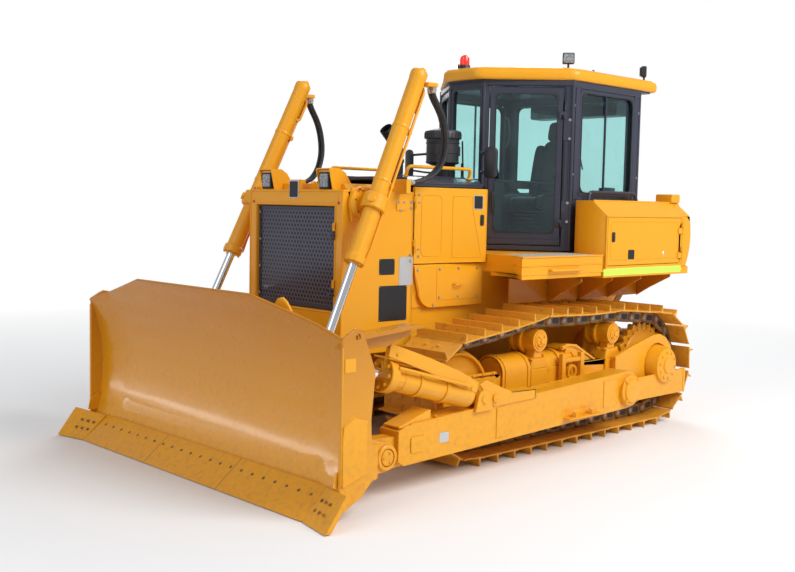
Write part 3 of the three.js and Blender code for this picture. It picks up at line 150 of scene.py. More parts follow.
def lay_floor():
    """Pale round floor that keeps the shadow near the machine and fades to white far from it."""
    count, rings = 96, (0.0, 4.0, 9.0, 16.0, 40.0)
    turn = np.arange(count) * 2 * pi / count
    points = [[0, 0, 0]]
    for radius in rings[1:]:
        points += np.stack([radius * np.cos(turn), radius * np.sin(turn), 0 * turn], 1).tolist()
    ring = lambda r, k: 1 + (r - 1) * count + k % count
    faces = [[0, ring(1, k), ring(1, k + 1)] for k in range(count)]
    for r in range(1, len(rings) - 1):
        faces += [[ring(r, k), ring(r + 1, k), ring(r + 1, k + 1), ring(r, k + 1)] for k in range(count)]
    mesh = bpy.data.meshes.new("studio_floor")
    mesh.from_pydata(points, [], faces)
    floor = bpy.data.objects.new("studio_floor", mesh)
    bpy.context.scene.collection.objects.link(floor)
    material = bpy.data.materials.new("studio_floor")
    material.use_nodes = True
    tree = material.node_tree
    tree.nodes.clear()
    add, link = tree.nodes.new, tree.links.new
    out, diffuse, white = (
        add("ShaderNodeOutputMaterial"),
        add("ShaderNodeBsdfDiffuse"),
        add("ShaderNodeEmission"),
    )
    diffuse.inputs["Color"].default_value = (0.9, 0.9, 0.9, 1)
    white.inputs["Strength"].default_value = 1.0
    where, length, fade = add("ShaderNodeTexCoord"), add("ShaderNodeVectorMath"), add("ShaderNodeMapRange")
    length.operation = "LENGTH"
    link(where.outputs["Object"], length.inputs[0])
    fade.inputs["From Min"].default_value, fade.inputs["From Max"].default_value = 4.0, 12.0
    link(length.outputs["Value"], fade.inputs["Value"])
    path, both = add("ShaderNodeLightPath"), add("ShaderNodeMath")
    both.operation = "MULTIPLY"
    link(path.outputs["Is Camera Ray"], both.inputs[0])
    link(fade.outputs["Result"], both.inputs[1])
    mix = add("ShaderNodeMixShader")
    link(both.outputs[0], mix.inputs[0])
    link(diffuse.outputs[0], mix.inputs[1])
    link(white.outputs[0], mix.inputs[2])
    link(mix.outputs[0], out.inputs[0])
    mesh.materials.append(material)


# ---------------------------------------------------------------- finishes


class Recipe:
    """A Principled finish built up from Object-coordinate patterns."""

    def __init__(self, name, colour, rough, metal=0.0, coat=0.0, coat_rough=0.06, specular=0.5):
        self.material = bpy.data.materials.new(name)
        self.material.use_nodes = True
        self.tree = self.material.node_tree
        self.shader = self.tree.nodes["Principled BSDF"]
        self.colour = tuple(colour) + (1,)
        inputs = self.shader.inputs
        inputs["Base Color"].default_value = self.colour
        inputs["Roughness"].default_value = rough
        inputs["Metallic"].default_value = metal
        inputs["Coat Weight"].default_value = coat
        inputs["Coat Roughness"].default_value = coat_rough
        inputs["Specular IOR Level"].default_value = specular
        self.base = None
        self.normal = None

    def node(self, kind, **values):
        """New shader node with the given settings."""
        made = self.tree.nodes.new("ShaderNode" + kind)
        for key, value in values.items():
            setattr(made, key, value)
        return made

    def link(self, a, b):
        """Joins an output to an input."""
        self.tree.links.new(a, b)

    def place(self):
        """Object coordinates, shared by every pattern."""
        if not hasattr(self, "where"):
            self.where = self.node("TexCoord").outputs["Object"]
        return self.where

    def noise(self, scale, detail=3.0, rough=0.55, stretch=None):
        """Value noise of a given scale per metre; stretch scales X, Y and Z apart."""
        source = self.place()
        if stretch is not None:
            mapping = self.node("Mapping")
            mapping.inputs["Scale"].default_value = stretch
            self.link(source, mapping.inputs["Vector"])
            source = mapping.outputs["Vector"]
        made = self.node("TexNoise")
        made.inputs["Scale"].default_value = scale
        made.inputs["Detail"].default_value = detail
        made.inputs["Roughness"].default_value = rough
        self.link(source, made.inputs["Vector"])
        return made.outputs["Fac"]

    def height(self, axis="Z"):
        """One Object coordinate in metres."""
        split = self.node("SeparateXYZ")
        self.link(self.place(), split.inputs[0])
        return split.outputs[axis]

    def ramp(self, value, low, high, to_low=0.0, to_high=1.0):
        """Straight-line change of value from low..high to to_low..to_high, held at the ends."""
        made = self.node("MapRange")
        for key, number in zip(("From Min", "From Max", "To Min", "To Max"), (low, high, to_low, to_high)):
            made.inputs[key].default_value = number
        self.link(value, made.inputs["Value"])
        return made.outputs["Result"]

    def blend(self, share, colour):
        """Lays colour over the base by share."""
        made = self.node("Mix", data_type="RGBA")
        self.link(share, made.inputs["Factor"])
        if self.base is None:
            made.inputs["A"].default_value = self.colour
        else:
            self.link(self.base, made.inputs["A"])
        made.inputs["B"].default_value = tuple(colour) + (1,)
        self.base = made.outputs["Result"]
        return self

    def mottle(self, noise, low, high, share, colour):
        """Lays colour over the base, up to share, where noise made with these values is above low."""
        return self.blend(self.ramp(self.noise(*noise), low, high, 0, share), colour)

    def roughness(self, noise, low, high):
        """Roughness that follows noise made with these values, from low to high."""
        self.link(self.ramp(self.noise(*noise), 0.3, 0.7, low, high), self.shader.inputs["Roughness"])
        return self

    def bump(self, value, strength, depth):
        """Relief of depth metres from an output, or from noise made with a tuple of values."""
        if isinstance(value, tuple):
            value = self.noise(*value)
        made = self.node("Bump")
        made.inputs["Strength"].default_value = strength
        made.inputs["Distance"].default_value = depth
        self.link(value, made.inputs["Height"])
        if self.normal is not None:
            self.link(self.normal, made.inputs["Normal"])
        self.normal = made.outputs["Normal"]
        return self

    def done(self):
        """Connects the built-up colour and relief and hands back the material."""
        if self.base is not None:
            self.link(self.base, self.shader.inputs["Base Color"])
        if self.normal is not None:
            self.link(self.normal, self.shader.inputs["Normal"])
        return self.material


YELLOW = (0.84, 0.370, 0.009)
YELLOW_DEEP = (0.75, 0.300, 0.010)
YELLOW_PALE = (0.87, 0.405, 0.016)
NIGHT = (0.040, 0.043, 0.066)


def paint(name, colour, deep, pale, rough=0.36, coat=0.16, cloud=1.0):
    """Sprayed gloss paint: cloudy tone, orange-peel relief and a thin film of dust low down."""
    recipe = Recipe(name, colour, rough, coat=coat, coat_rough=0.12, specular=0.36)
    recipe.mottle((0.9, 2), 0.42, 0.72, 0.4 * cloud, deep)
    recipe.mottle((5.5, 4), 0.5, 0.8, 0.2 * cloud, pale)
    low = recipe.ramp(recipe.height(), 0.05, 1.0, 1, 0)
    grit = recipe.ramp(recipe.noise(23, 5, 0.65), 0.48, 0.74, 0, 0.4)
    both = recipe.node("Math", operation="MULTIPLY")
    recipe.link(low, both.inputs[0])
    recipe.link(grit, both.inputs[1])
    recipe.blend(both.outputs[0], (0.33, 0.17, 0.06))
    recipe.roughness((11, 3), rough - 0.06, rough + 0.1)
    recipe.bump((260, 2), 0.06, 0.0006)
    recipe.bump((3.2, 2), 0.10, 0.004)
    return recipe


def make_finishes():
    """Every finish of the machine, by name."""
    for plain in bpy.data.materials:
        plain.name = "cad_" + plain.name
    made = {}

    def keep(recipe):
        """Stores a finished material by its name."""
        made[recipe.material.name] = recipe.done()

    keep(paint("yellow_paint", YELLOW, YELLOW_DEEP, YELLOW_PALE))
    shoe = paint("shoe_paint", (0.74, 0.34, 0.026), (0.56, 0.24, 0.02), (0.8, 0.42, 0.06), 0.46, 0.1)
    shoe.mottle((14, 6, 0.7), 0.56, 0.7, 0.75, (0.24, 0.12, 0.045))
    keep(shoe)
    face = paint(
        "moldboard_paint_with_painted_shade", (0.80, 0.345, 0.008), (0.76, 0.318, 0.008), (0.83, 0.365, 0.012), 0.3, 0.42, 0.35
    )
    # painted shade: the face darkens from 0.35 m up to its crest, standing for the shade on the upper face,
    # which leans forward and faces down
    face.blend(face.ramp(face.height(), 0.35, 1.30, 0, 0.9), (0.50, 0.180, 0.004))
    face.mottle((1.1, 3, 0.5, (1, 0.2, 2.0)), 0.5, 0.85, 0.15, (0.84, 0.40, 0.02))
    face.shader.inputs["Specular IOR Level"].default_value = 0.25
    face.shader.inputs["Coat Roughness"].default_value = 0.13
    keep(face)
    keep(paint("night_paint", NIGHT, (0.028, 0.030, 0.048), (0.062, 0.066, 0.094), 0.36, 0.25))
    keep(paint("black_paint", (0.014, 0.014, 0.016), (0.01, 0.01, 0.012), (0.03, 0.03, 0.032), 0.42, 0.15))
    cowl = paint("cowl_paint", YELLOW, YELLOW_DEEP, YELLOW_PALE)
    cowl.blend(cowl.ramp(cowl.height(), 2.258, 2.264), NIGHT)
    keep(cowl)

    link = Recipe("link_steel", (0.20, 0.115, 0.055), 0.5, metal=0.35)
    link.mottle((8, 6, 0.7), 0.42, 0.66, 0.9, (0.46, 0.24, 0.05))
    link.mottle((31, 5, 0.7), 0.52, 0.7, 0.8, (0.07, 0.045, 0.03))
    link.roughness((19, 4), 0.36, 0.62).bump((85, 4), 0.25, 0.0015)
    keep(link)
    bright = Recipe("worn_steel", (0.42, 0.39, 0.36), 0.32, metal=0.9)
    bright.mottle((17, 6, 0.7), 0.46, 0.66, 0.8, (0.19, 0.13, 0.085))
    bright.roughness((27, 4), 0.25, 0.5).bump((120, 3), 0.15, 0.0008)
    keep(bright)
    chrome = Recipe("chrome", (0.86, 0.87, 0.89), 0.07, metal=1.0)
    chrome.mottle((3.0, 2), 0.5, 0.8, 0.2, (0.70, 0.72, 0.76))
    chrome.roughness((40, 3), 0.05, 0.13)
    keep(chrome)
    zinc = Recipe("zinc_bolt", (0.62, 0.60, 0.55), 0.3, metal=0.95)
    zinc.mottle((55, 3), 0.45, 0.7, 0.6, (0.42, 0.38, 0.31))
    keep(zinc)
    engine = Recipe("engine_grey", (0.10, 0.105, 0.115), 0.55, metal=0.2)
    engine.mottle((9, 5), 0.45, 0.7, 0.7, (0.05, 0.052, 0.058))
    engine.bump((70, 4), 0.3, 0.002)
    keep(engine)
    rubber = Recipe("hose_rubber", (0.017, 0.017, 0.019), 0.52)
    rubber.mottle((30, 4), 0.5, 0.75, 0.6, (0.05, 0.05, 0.054))
    rubber.bump((420, 2), 0.2, 0.0005)
    keep(rubber)
    plastic = Recipe("black_plastic", (0.022, 0.022, 0.026), 0.45)
    plastic.mottle((6, 3), 0.5, 0.8, 0.5, (0.045, 0.045, 0.052))
    plastic.bump((700, 1), 0.15, 0.0003)
    keep(plastic)
    cloth = Recipe("seat_cloth", (0.030, 0.031, 0.036), 0.85)
    cloth.shader.inputs["Sheen Weight"].default_value = 0.3
    weave = cloth.node("TexWave", wave_type="BANDS")
    weave.inputs["Scale"].default_value = 90
    cloth.link(cloth.place(), weave.inputs["Vector"])
    cloth.blend(cloth.ramp(weave.outputs["Fac"], 0.3, 0.8, 0, 0.5), (0.06, 0.062, 0.07))
    cloth.bump(weave.outputs["Fac"], 0.3, 0.001)
    keep(cloth)
    red = Recipe("red_lens", (0.85, 0.018, 0.012), 0.12, coat=0.8)
    red.mottle((30, 2), 0.4, 0.8, 0.5, (1.0, 0.09, 0.04))
    red.shader.inputs["Emission Color"].default_value = (0.9, 0.03, 0.01, 1)
    red.shader.inputs["Emission Strength"].default_value = 0.35
    keep(red)
    cap = Recipe("red_cap", (0.62, 0.015, 0.012), 0.4)
    cap.mottle((60, 2), 0.4, 0.8, 0.5, (0.4, 0.01, 0.01))
    keep(cap)
    lens = Recipe("lamp_lens", (0.50, 0.52, 0.55), 0.12, metal=0.3, coat=1.0)
    cells = lens.node("TexVoronoi")
    cells.inputs["Scale"].default_value = 60
    lens.link(lens.place(), cells.inputs["Vector"])
    lens.blend(lens.ramp(cells.outputs["Distance"], 0.2, 0.6, 0, 0.7), (0.16, 0.17, 0.19))
    lens.bump(cells.outputs["Distance"], 0.4, 0.003)
    keep(lens)
    silver = Recipe("blank_plate", (0.62, 0.63, 0.64), 0.35, metal=0.6)
    silver.mottle((4, 3, 0.5, (30, 30, 1)), 0.4, 0.7, 0.5, (0.48, 0.49, 0.5))
    keep(silver)
    grip = Recipe("tread_plate", (0.62, 0.60, 0.55), 0.75)
    grip.mottle((130, 4, 0.8), 0.42, 0.6, 0.9, (0.16, 0.15, 0.13))
    grip.bump((160, 3), 0.8, 0.004)
    keep(grip)
    strip = Recipe("reflective_strip_painted_glow", (0.52, 0.86, 0.06), 0.4, coat=0.5)
    check = strip.node("TexChecker")
    check.inputs["Scale"].default_value = 42
    strip.link(strip.place(), check.inputs["Vector"])
    strip.blend(strip.ramp(check.outputs["Fac"], 0, 1, 0, 0.35), (0.70, 0.94, 0.16))
    # painted glow: a faint emission makes the strip shine though it is no lamp
    strip.shader.inputs["Emission Color"].default_value = (0.5, 0.85, 0.05, 1)
    strip.shader.inputs["Emission Strength"].default_value = 0.18
    keep(strip)
    keep(mesh_grille())
    keep(mirror_glass())
    made["window_glass"] = window_glass()
    return made


def mirror_glass():
    """Silvered glass with faint cloudy tone."""
    mirror = Recipe("mirror_glass", (0.75, 0.78, 0.80), 0.03, metal=1.0)
    mirror.mottle((2, 1), 0.4, 0.8, 0.3, (0.6, 0.64, 0.68))
    return mirror


def mesh_grille():
    """Perforated sheet: round holes 40 mm apart in rows 34 mm apart, every other row shifted by half."""
    recipe = Recipe("grille_sheet", (0.075, 0.078, 0.125), 0.42, metal=0.3, coat=0.2)
    split = recipe.node("SeparateXYZ")
    recipe.link(recipe.place(), split.inputs[0])

    def math(operation, a, b=None):
        """Math node with two inputs, each a number or an output."""
        made = recipe.node("Math", operation=operation)
        for k, value in enumerate((a, b)):
            if value is None:
                continue
            if isinstance(value, (int, float)):
                made.inputs[k].default_value = value
            else:
                recipe.link(value, made.inputs[k])
        return made.outputs[0]

    pitch_y, pitch_z = 0.040, 0.034
    row = math("DIVIDE", split.outputs["Z"], pitch_z)
    odd = math("FLOORED_MODULO", math("FLOOR", row), 2.0)
    column = math("ADD", math("DIVIDE", split.outputs["Y"], pitch_y), math("MULTIPLY", odd, 0.5))
    dy = math("MULTIPLY", math("SUBTRACT", math("FRACT", column), 0.5), pitch_y)
    dz = math("MULTIPLY", math("SUBTRACT", math("FRACT", row), 0.5), pitch_z)
    far = math("SQRT", math("ADD", math("MULTIPLY", dy, dy), math("MULTIPLY", dz, dz)))
    hole = recipe.ramp(far, 0.0125, 0.0145, 1.0, 0.0)
    recipe.mottle((7, 2), 0.4, 0.8, 0.4, (0.11, 0.115, 0.17))
    # painted shade: the holes are near-black, standing for the shaded space behind the sheet
    recipe.blend(hole, (0.002, 0.002, 0.003))
    recipe.bump(recipe.ramp(far, 0.012, 0.016, 0.0, 1.0), 0.6, 0.003)
    return recipe


def window_glass():
    """Green-tinted pane: mostly clear, with a sharp reflection that grows towards grazing angles."""
    material = bpy.data.materials.new("window_glass")
    material.use_nodes = True
    tree = material.node_tree
    tree.nodes.clear()
    add, link = tree.nodes.new, tree.links.new
    out, clear, gloss, mix = (
        add("ShaderNodeOutputMaterial"),
        add("ShaderNodeBsdfTransparent"),
        add("ShaderNodeBsdfGlossy"),
        add("ShaderNodeMixShader"),
    )
    clear.inputs["Color"].default_value = (0.80, 0.95, 0.94, 1)
    gloss.inputs["Color"].default_value = (0.8, 0.88, 0.92, 1)
    gloss.inputs["Roughness"].default_value = 0.03
    fresnel, streak, where, level = (
        add("ShaderNodeFresnel"),
        add("ShaderNodeTexNoise"),
        add("ShaderNodeTexCoord"),
        add("ShaderNodeMapRange"),
    )
    fresnel.inputs["IOR"].default_value = 1.5
    streak.inputs["Scale"].default_value = 2.0
    link(where.outputs["Object"], streak.inputs["Vector"])
    link(streak.outputs["Fac"], level.inputs["Value"])
    level.inputs["To Min"].default_value, level.inputs["To Max"].default_value = 0.0, 0.08
    total, front, facing = add("ShaderNodeMath"), add("ShaderNodeMath"), add("ShaderNodeNewGeometry")
    front.operation = "LESS_THAN"
    front.inputs[1].default_value = 0.5
    link(facing.outputs["Backfacing"], front.inputs[0])
    only = add("ShaderNodeMath")
    only.operation = "MULTIPLY"
    link(fresnel.outputs[0], only.inputs[0])
    link(front.outputs[0], only.inputs[1])
    link(only.outputs[0], total.inputs[0])
    link(level.outputs[0], total.inputs[1])
    link(total.outputs[0], mix.inputs[0])
    link(clear.outputs[0], mix.inputs[1])
    link(gloss.outputs[0], mix.inputs[2])
    link(mix.outputs[0], out.inputs[0])
    return material


# ---------------------------------------------------------------- shape kit

AHEAD, LEFT, UP = (1, 0, 0), (0, 1, 0), (0, 0, 1)


class Solids:
    """Closed shapes gathered into one piece; points are in millimetres in the machine's frame."""

    def __init__(self):
        self.points, self.faces, self.count = [], [], 0

    def add(self, points, faces):
        """Adds one closed shape: an N x 3 array of points and lists of corner numbers."""
        points = np.asarray(points, float).reshape(-1, 3)
        self.points.append(points)
        self.faces += [[k + self.count for k in face] for face in faces]
        self.count += len(points)
        return self

    def copies(self, points, faces, frames):
        """Adds the same small shape once per 4 x 4 frame."""
        points = np.asarray(points, float)
        flat = np.c_[points, np.ones(len(points))]
        for m in frames:
            self.add((flat @ np.asarray(m).T)[:, :3], faces)
        return self

    def finish(self, name, body, finish, side=1, angle=32, bevel=0.0, segments=2):
        """Makes one mesh of the shapes, mirrored when side is negative, and rides it on its body."""
        points = np.concatenate(self.points)
        if side < 0:
            points = points * np.array([1, -1, 1])
        points = (points - ORIGIN) * 0.001
        faces = [face[::-1] for face in self.faces] if side < 0 else self.faces
        mesh = bpy.data.meshes.new(name)
        mesh.from_pydata(points.tolist(), [], faces)
        mesh.update()
        mesh.polygons.foreach_set("use_smooth", np.ones(len(mesh.polygons), bool))
        mesh.set_sharp_from_angle(angle=radians(angle))
        mesh.materials.append(finishes[finish])
        piece = bpy.data.objects.new(name, mesh)
        bpy.context.scene.collection.objects.link(piece)
        if bevel:
            soften(piece, bevel, segments)
        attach(piece, body)
        return piece


def soften(piece, width, segments=2, limit=38):
    """Rounds the piece's sharp edges by width metres."""
    bevel = piece.modifiers.new("rounded_edges", "BEVEL")
    bevel.width = width
    bevel.segments = segments
    bevel.limit_method = "ANGLE"
    bevel.angle_limit = radians(limit)
    bevel.use_clamp_overlap = False
    bevel.harden_normals = True
    return bevel


def unit(v):
    """The vector divided by its length."""
    v = np.asarray(v, float)
    return v / np.linalg.norm(v)


def basis(direction):
    """Two unit vectors square to direction and to each other."""
    d = unit(direction)
    helper = np.array([0, 0, 1.0]) if abs(d[2]) < 0.9 else np.array([1.0, 0, 0])
    a = unit(np.cross(helper, d))
    return a, np.cross(d, a)


def ring_faces(rings, count, closed=False):
    """Quads between successive rings of count points."""
    faces = []
    last = rings if closed else rings - 1
    for r in range(last):
        a, b = r * count, ((r + 1) % rings) * count
        faces += [[a + k, a + (k + 1) % count, b + (k + 1) % count, b + k] for k in range(count)]
    return faces


def lathe(profile, base, direction, segments=48):
    """Profile of (distance along, radius) pairs turned about the axis; ends at radius 0 close to a point."""
    a, b = basis(direction)
    d = unit(direction)
    base = np.asarray(base, float)
    turn = np.arange(segments) * 2 * pi / segments
    circle = np.outer(np.cos(turn), a) + np.outer(np.sin(turn), b)
    body = [p for p in profile if p[1] > 0]
    points = np.concatenate([base + d * h + circle * r for h, r in body])
    faces = ring_faces(len(body), segments)
    n = len(points)
    first, last = profile[0], profile[-1]
    points = np.concatenate([points, [base + d * first[0]], [base + d * last[0]]])
    end = (len(body) - 1) * segments
    faces += [[n, (k + 1) % segments, k] for k in range(segments)]
    faces += [[n + 1, end + k, end + (k + 1) % segments] for k in range(segments)]
    return points, faces


def rod(start, end, radius, chamfer=3.0, segments=24):
    """Round bar with chamfered ends."""
    start, end = np.asarray(start, float), np.asarray(end, float)
    length = np.linalg.norm(end - start)
    c = min(chamfer, radius * 0.4, length * 0.3)
    profile = [
        (0, 0), (0, radius - c), (c, radius), (length - c, radius), (length, radius - c), (length, 0)
    ]
    return lathe(profile, start, end - start, segments)


def hollow_ring(profile, base, direction, segments=48):
    """Closed profile of (distance along, radius) pairs turned about the axis: a ring with a hole."""
    a, b = basis(direction)
    d = unit(direction)
    turn = np.arange(segments) * 2 * pi / segments
    circle = np.outer(np.cos(turn), a) + np.outer(np.sin(turn), b)
    points = np.concatenate([np.asarray(base, float) + d * h + circle * r for h, r in profile])
    return points, ring_faces(len(profile), segments, closed=True)


def tube(path, radius, sides=12):
    """Circle of the given radius carried along the path without twisting, closed at both ends."""
    path = np.asarray(path, float)
    tangents = np.gradient(path, axis=0)
    tangents /= np.linalg.norm(tangents, axis=1)[:, None]
    a, _ = basis(tangents[0])
    turn = np.arange(sides) * 2 * pi / sides
    rings = []
    for point, tangent in zip(path, tangents):
        a = unit(a - tangent * np.dot(a, tangent))
        b = np.cross(tangent, a)
        rings.append(point + radius * (np.outer(np.cos(turn), a) + np.outer(np.sin(turn), b)))
    points = np.concatenate(rings)
    faces = ring_faces(len(path), sides)
    faces.append(list(range(sides))[::-1])
    faces.append([len(points) - sides + k for k in range(sides)])
    return points, faces


def smooth_path(points, steps=8):
    """Catmull-Rom curve through the points, steps points between each pair."""
    p = np.asarray(points, float)
    p = np.vstack([2 * p[0] - p[1], p, 2 * p[-1] - p[-2]])
    t = np.arange(steps)[:, None] / steps
    parts = []
    for k in range(1, len(p) - 2):
        a, b, c, d = p[k - 1 : k + 3]
        parts.append(
            0.5 * (
                2 * b + (c - a) * t + (2 * a - 5 * b + 4 * c - d) * t**2 + (3 * b - a - 3 * c + d) * t**3
            )
        )
    return np.vstack(parts + [p[-2:-1]])


def bent_path(points, radius, steps=6):
    """Straight runs between the points with each inner corner rounded to the radius."""
    p = np.asarray(points, float)
    made = [p[0]]
    for a, b, c in zip(p[:-2], p[1:-1], p[2:]):
        u, v = unit(a - b), unit(c - b)
        reach = min(radius, 0.45 * np.linalg.norm(a - b), 0.45 * np.linalg.norm(c - b))
        start, end = b + u * reach, b + v * reach
        t = np.linspace(0, 1, steps)[:, None]
        made += list((1 - t) ** 2 * start + 2 * t * (1 - t) * b + t**2 * end)
    made.append(p[-1])
    return np.array(made)


def area(outline):
    """Signed area of a closed outline by the shoelace sum."""
    x, y = np.asarray(outline, float).T
    return 0.5 * np.sum(x * np.roll(y, -1) - np.roll(x, -1) * y)


def slab(outline, u, v, base, depth, chamfer=0.0):
    """Flat outline in axes u and v from base, thickened by the depth vector, its rims cut back by chamfer."""
    outline = np.asarray(outline, float)
    u, v, depth = (np.asarray(x, float) for x in (u, v, depth))
    if area(outline) * np.dot(np.cross(u, v), depth) < 0:
        outline = outline[::-1]
    n = len(outline)
    flat = lambda line: np.asarray(base, float) + np.outer(line[:, 0], u) + np.outer(line[:, 1], v)
    if chamfer:
        inner = shrunk(outline, chamfer)
        step = unit(depth) * chamfer
        layers = [flat(inner), flat(outline) + step, flat(outline) + depth - step, flat(inner) + depth]
    else:
        layers = [flat(outline), flat(outline) + depth]
    points = np.concatenate(layers)
    faces = ring_faces(len(layers), n)
    faces.append(list(range(n))[::-1])
    faces.append([len(points) - n + k for k in range(n)])
    return points, faces


def shrunk(outline, distance):
    """The outline moved inwards by distance along each corner's bisector."""
    p = np.asarray(outline, float)
    before = p - np.roll(p, 1, 0)
    after = np.roll(p, -1, 0) - p
    before /= np.linalg.norm(before, axis=1)[:, None]
    after /= np.linalg.norm(after, axis=1)[:, None]
    turn = np.sign(area(p))
    left = lambda d: turn * np.c_[-d[:, 1], d[:, 0]]
    out = left(before) + left(after)
    scale = np.maximum(np.sum(out * left(before), 1), 0.35)
    return p + out * (distance / scale)[:, None]


def rect(a0, a1, b0, b1):
    """Corners of a rectangle between two limits on each axis."""
    return [(a0, b0), (a1, b0), (a1, b1), (a0, b1)]


def plate_y(outline, y0, y1, chamfer=0.0):
    """Outline in X and Z between two Y values."""
    return slab(outline, AHEAD, UP, (0, y0, 0), (0, y1 - y0, 0), chamfer)


def plate_z(outline, z0, z1, chamfer=0.0):
    """Outline in X and Y between two heights."""
    return slab(outline, AHEAD, LEFT, (0, 0, z0), (0, 0, z1 - z0), chamfer)


def plate_x(outline, x0, x1, chamfer=0.0):
    """Outline in Y and Z between two X values."""
    return slab(outline, LEFT, UP, (x0, 0, 0), (x1 - x0, 0, 0), chamfer)


def block(x0, x1, y0, y1, z0, z1, chamfer=0.0):
    """Rectangular box between two X, two Y and two Z limits, with optional bevelled edges."""
    return plate_z(rect(x0, x1, y0, y1), z0, z1, chamfer)


def adding(maker):
    """Method of Solids that adds the shape the maker returns."""
    return lambda solids, *sizes: solids.add(*maker(*sizes))


Solids.lathe = adding(lathe)
Solids.hollow_ring = adding(hollow_ring)
Solids.rod = adding(rod)
Solids.tube = adding(tube)
Solids.slab = adding(slab)
Solids.block = adding(block)
Solids.plate_x = adding(plate_x)
Solids.plate_y = adding(plate_y)
Solids.plate_z = adding(plate_z)


def rounded(x0, x1, y0, y1, radius, steps=5):
    """Rectangle outline with quarter-circle corners."""
    points = []
    for cx, cy, start in ((x1, y1, 0), (x0, y1, 90), (x0, y0, 180), (x1, y0, 270)):
        sx, sy = (-1 if cx == x1 else 1), (-1 if cy == y1 else 1)
        for k in range(steps + 1):
            a = radians(start + 90 * k / steps)
            points.append((cx + sx * radius + radius * cos(a), cy + sy * radius + radius * sin(a)))
    return points


def arc(cx, cz, radius, start, end, steps):
    """Points at equal angles along a circular arc."""
    a = np.radians(np.linspace(start, end, steps + 1))
    return list(zip(cx + radius * np.cos(a), cz + radius * np.sin(a)))


def bolt_shape(radius=15.0, height=11.0, washer=1.45):
    """Hexagon head with a chamfered top on a round washer, standing up along +Z from the origin."""
    turn12 = np.arange(12) * pi / 6
    turn6 = np.repeat(np.arange(6) * pi / 3, 2)
    rings = [(turn12, radius * washer, 0.0), (turn12, radius * washer, 2.5)]
    rings += [(turn6, radius, 2.5), (turn6, radius, height - 2), (turn6, radius * 0.86, height)]
    points = np.concatenate([np.c_[r * np.cos(t), r * np.sin(t), np.full(12, z)] for t, r, z in rings])
    faces = ring_faces(5, 12)
    faces.append(list(range(12))[::-1])
    faces.append([48 + k for k in range(12)])
    return points, faces


def standing(point, direction, spin=0.0):
    """Frame whose +Z is direction, at the point."""
    a, b = basis(direction)
    c, s = cos(spin), sin(spin)
    m = np.eye(4)
    m[:3, 0], m[:3, 1], m[:3, 2], m[:3, 3] = a * c + b * s, b * c - a * s, unit(direction), point
    return m


def bolts(shell, points, direction, radius=15.0, height=11.0):
    """One hexagon bolt head at each point, all along the same direction."""
    shape = bolt_shape(radius, height)
    shell.copies(*shape, [standing(p, direction, 0.5 + k) for k, p in enumerate(points)])


def circle_points(x, y, z, radius, count, start=0.0):
    """Points round a circle in the X-Z plane at depth y."""
    a = radians(start) + np.arange(count) * 2 * pi / count
    return [(x + radius * cos(t), y, z + radius * sin(t)) for t in a]


# ---------------------------------------------------------------- CAD nodes


def dress_nodes():
    """Gives each CAD node its finish, soft edges and smooth round faces."""
    choice = {
        "engine": "engine_grey",
        "radiator": "engine_grey",
        "engine_hood": "night_paint",
        "rear_cowl": "cowl_paint",
        "exhaust_stack": "black_paint",
        "air_precleaner": "black_plastic",
        "grille_door": "grille_sheet",
        "cab_frame": "night_paint",
        "operator_seat": "seat_cloth",
        "control_console": "black_plastic",
        "blade": "moldboard_paint_with_painted_shade",
        "cutting_edge": "yellow_paint",
        "tilt_rod": "chrome",
        "front_window": "window_glass",
        "rear_window": "window_glass",
    }
    for side, _ in SIDES:
        choice |= {
            side + "track": "link_steel",
            side + "trunnion_ball": "worn_steel",
            side + "side_window": "window_glass",
            side + "cab_door": "night_paint",
            side + "door_glass": "window_glass",
            side + "lift_rod": "chrome",
            side + "lift_piston": "worn_steel",
            side + "lift_hoses": "hose_rubber",
        }
    for name, node in nodes.items():
        finish = choice.get(name, "yellow_paint")
        node.data.materials.clear()
        node.data.materials.append(finishes[finish])
        if "custom_normal" in node.data.attributes:
            node.data.attributes.remove(node.data.attributes["custom_normal"])
        node.data.polygons.foreach_set("use_smooth", np.ones(len(node.data.polygons), bool))
        if finish == "window_glass":
            continue
        weld = node.modifiers.new("joined_corners", "WELD")
        weld.merge_threshold = 0.00002
        soften(node, 0.005, 2, 40)


# ---------------------------------------------------------------- tracks

WHEELBASE, SPROCKET_Z, IDLER_Z = 2730, 590, 559
SHOES = 38


def sagging(a, b, depth, steps=8):
    """Parabola between two points, depth below their chord at the middle; the end point is left out."""
    t = np.arange(steps)[:, None] / steps
    a, b = np.asarray(a, float), np.asarray(b, float)
    return a + (b - a) * t - np.c_[0 * t, 4 * depth * t * (1 - t)]


def pin_points():
    """Pins evenly spaced along the loop: idler arc, three sagging spans over the carriers, sprocket arc."""
    idler = np.array(arc(WHEELBASE, IDLER_Z, 420, -90, 84, 24))
    sprocket = np.array(arc(0, SPROCKET_Z, 451, 93, 270, 26))
    rear, front = (655, 1098), (1756, 1112)
    line = np.vstack(
        [
            idler,
            sagging(idler[-1], front, 16)[1:],
            sagging(front, rear, 18),
            sagging(rear, sprocket[0], 8),
            sprocket,
            idler[:1],
        ]
    )
    reach = np.r_[0, np.cumsum(np.linalg.norm(np.diff(line, axis=0), axis=1))]
    at = reach[-1] * (np.arange(SHOES) + 0.5) / SHOES
    return np.c_[np.interp(at, reach, line[:, 0]), np.interp(at, reach, line[:, 1])]


def link_frames(pins, y):
    """One frame per link: X from pin to pin, Y across, Z outwards; with each link's length."""
    frames, lengths = [], []
    for a, b in zip(pins, np.roll(pins, -1, 0)):
        ahead = b - a
        length = np.linalg.norm(ahead)
        t = ahead / length
        m = np.eye(4)
        m[:3, 0], m[:3, 1], m[:3, 2] = (t[0], 0, t[1]), (0, -1, 0), (t[1], 0, -t[0])
        m[:3, 3] = a[0], y, a[1]
        frames.append(m)
        lengths.append(length)
    return frames, lengths


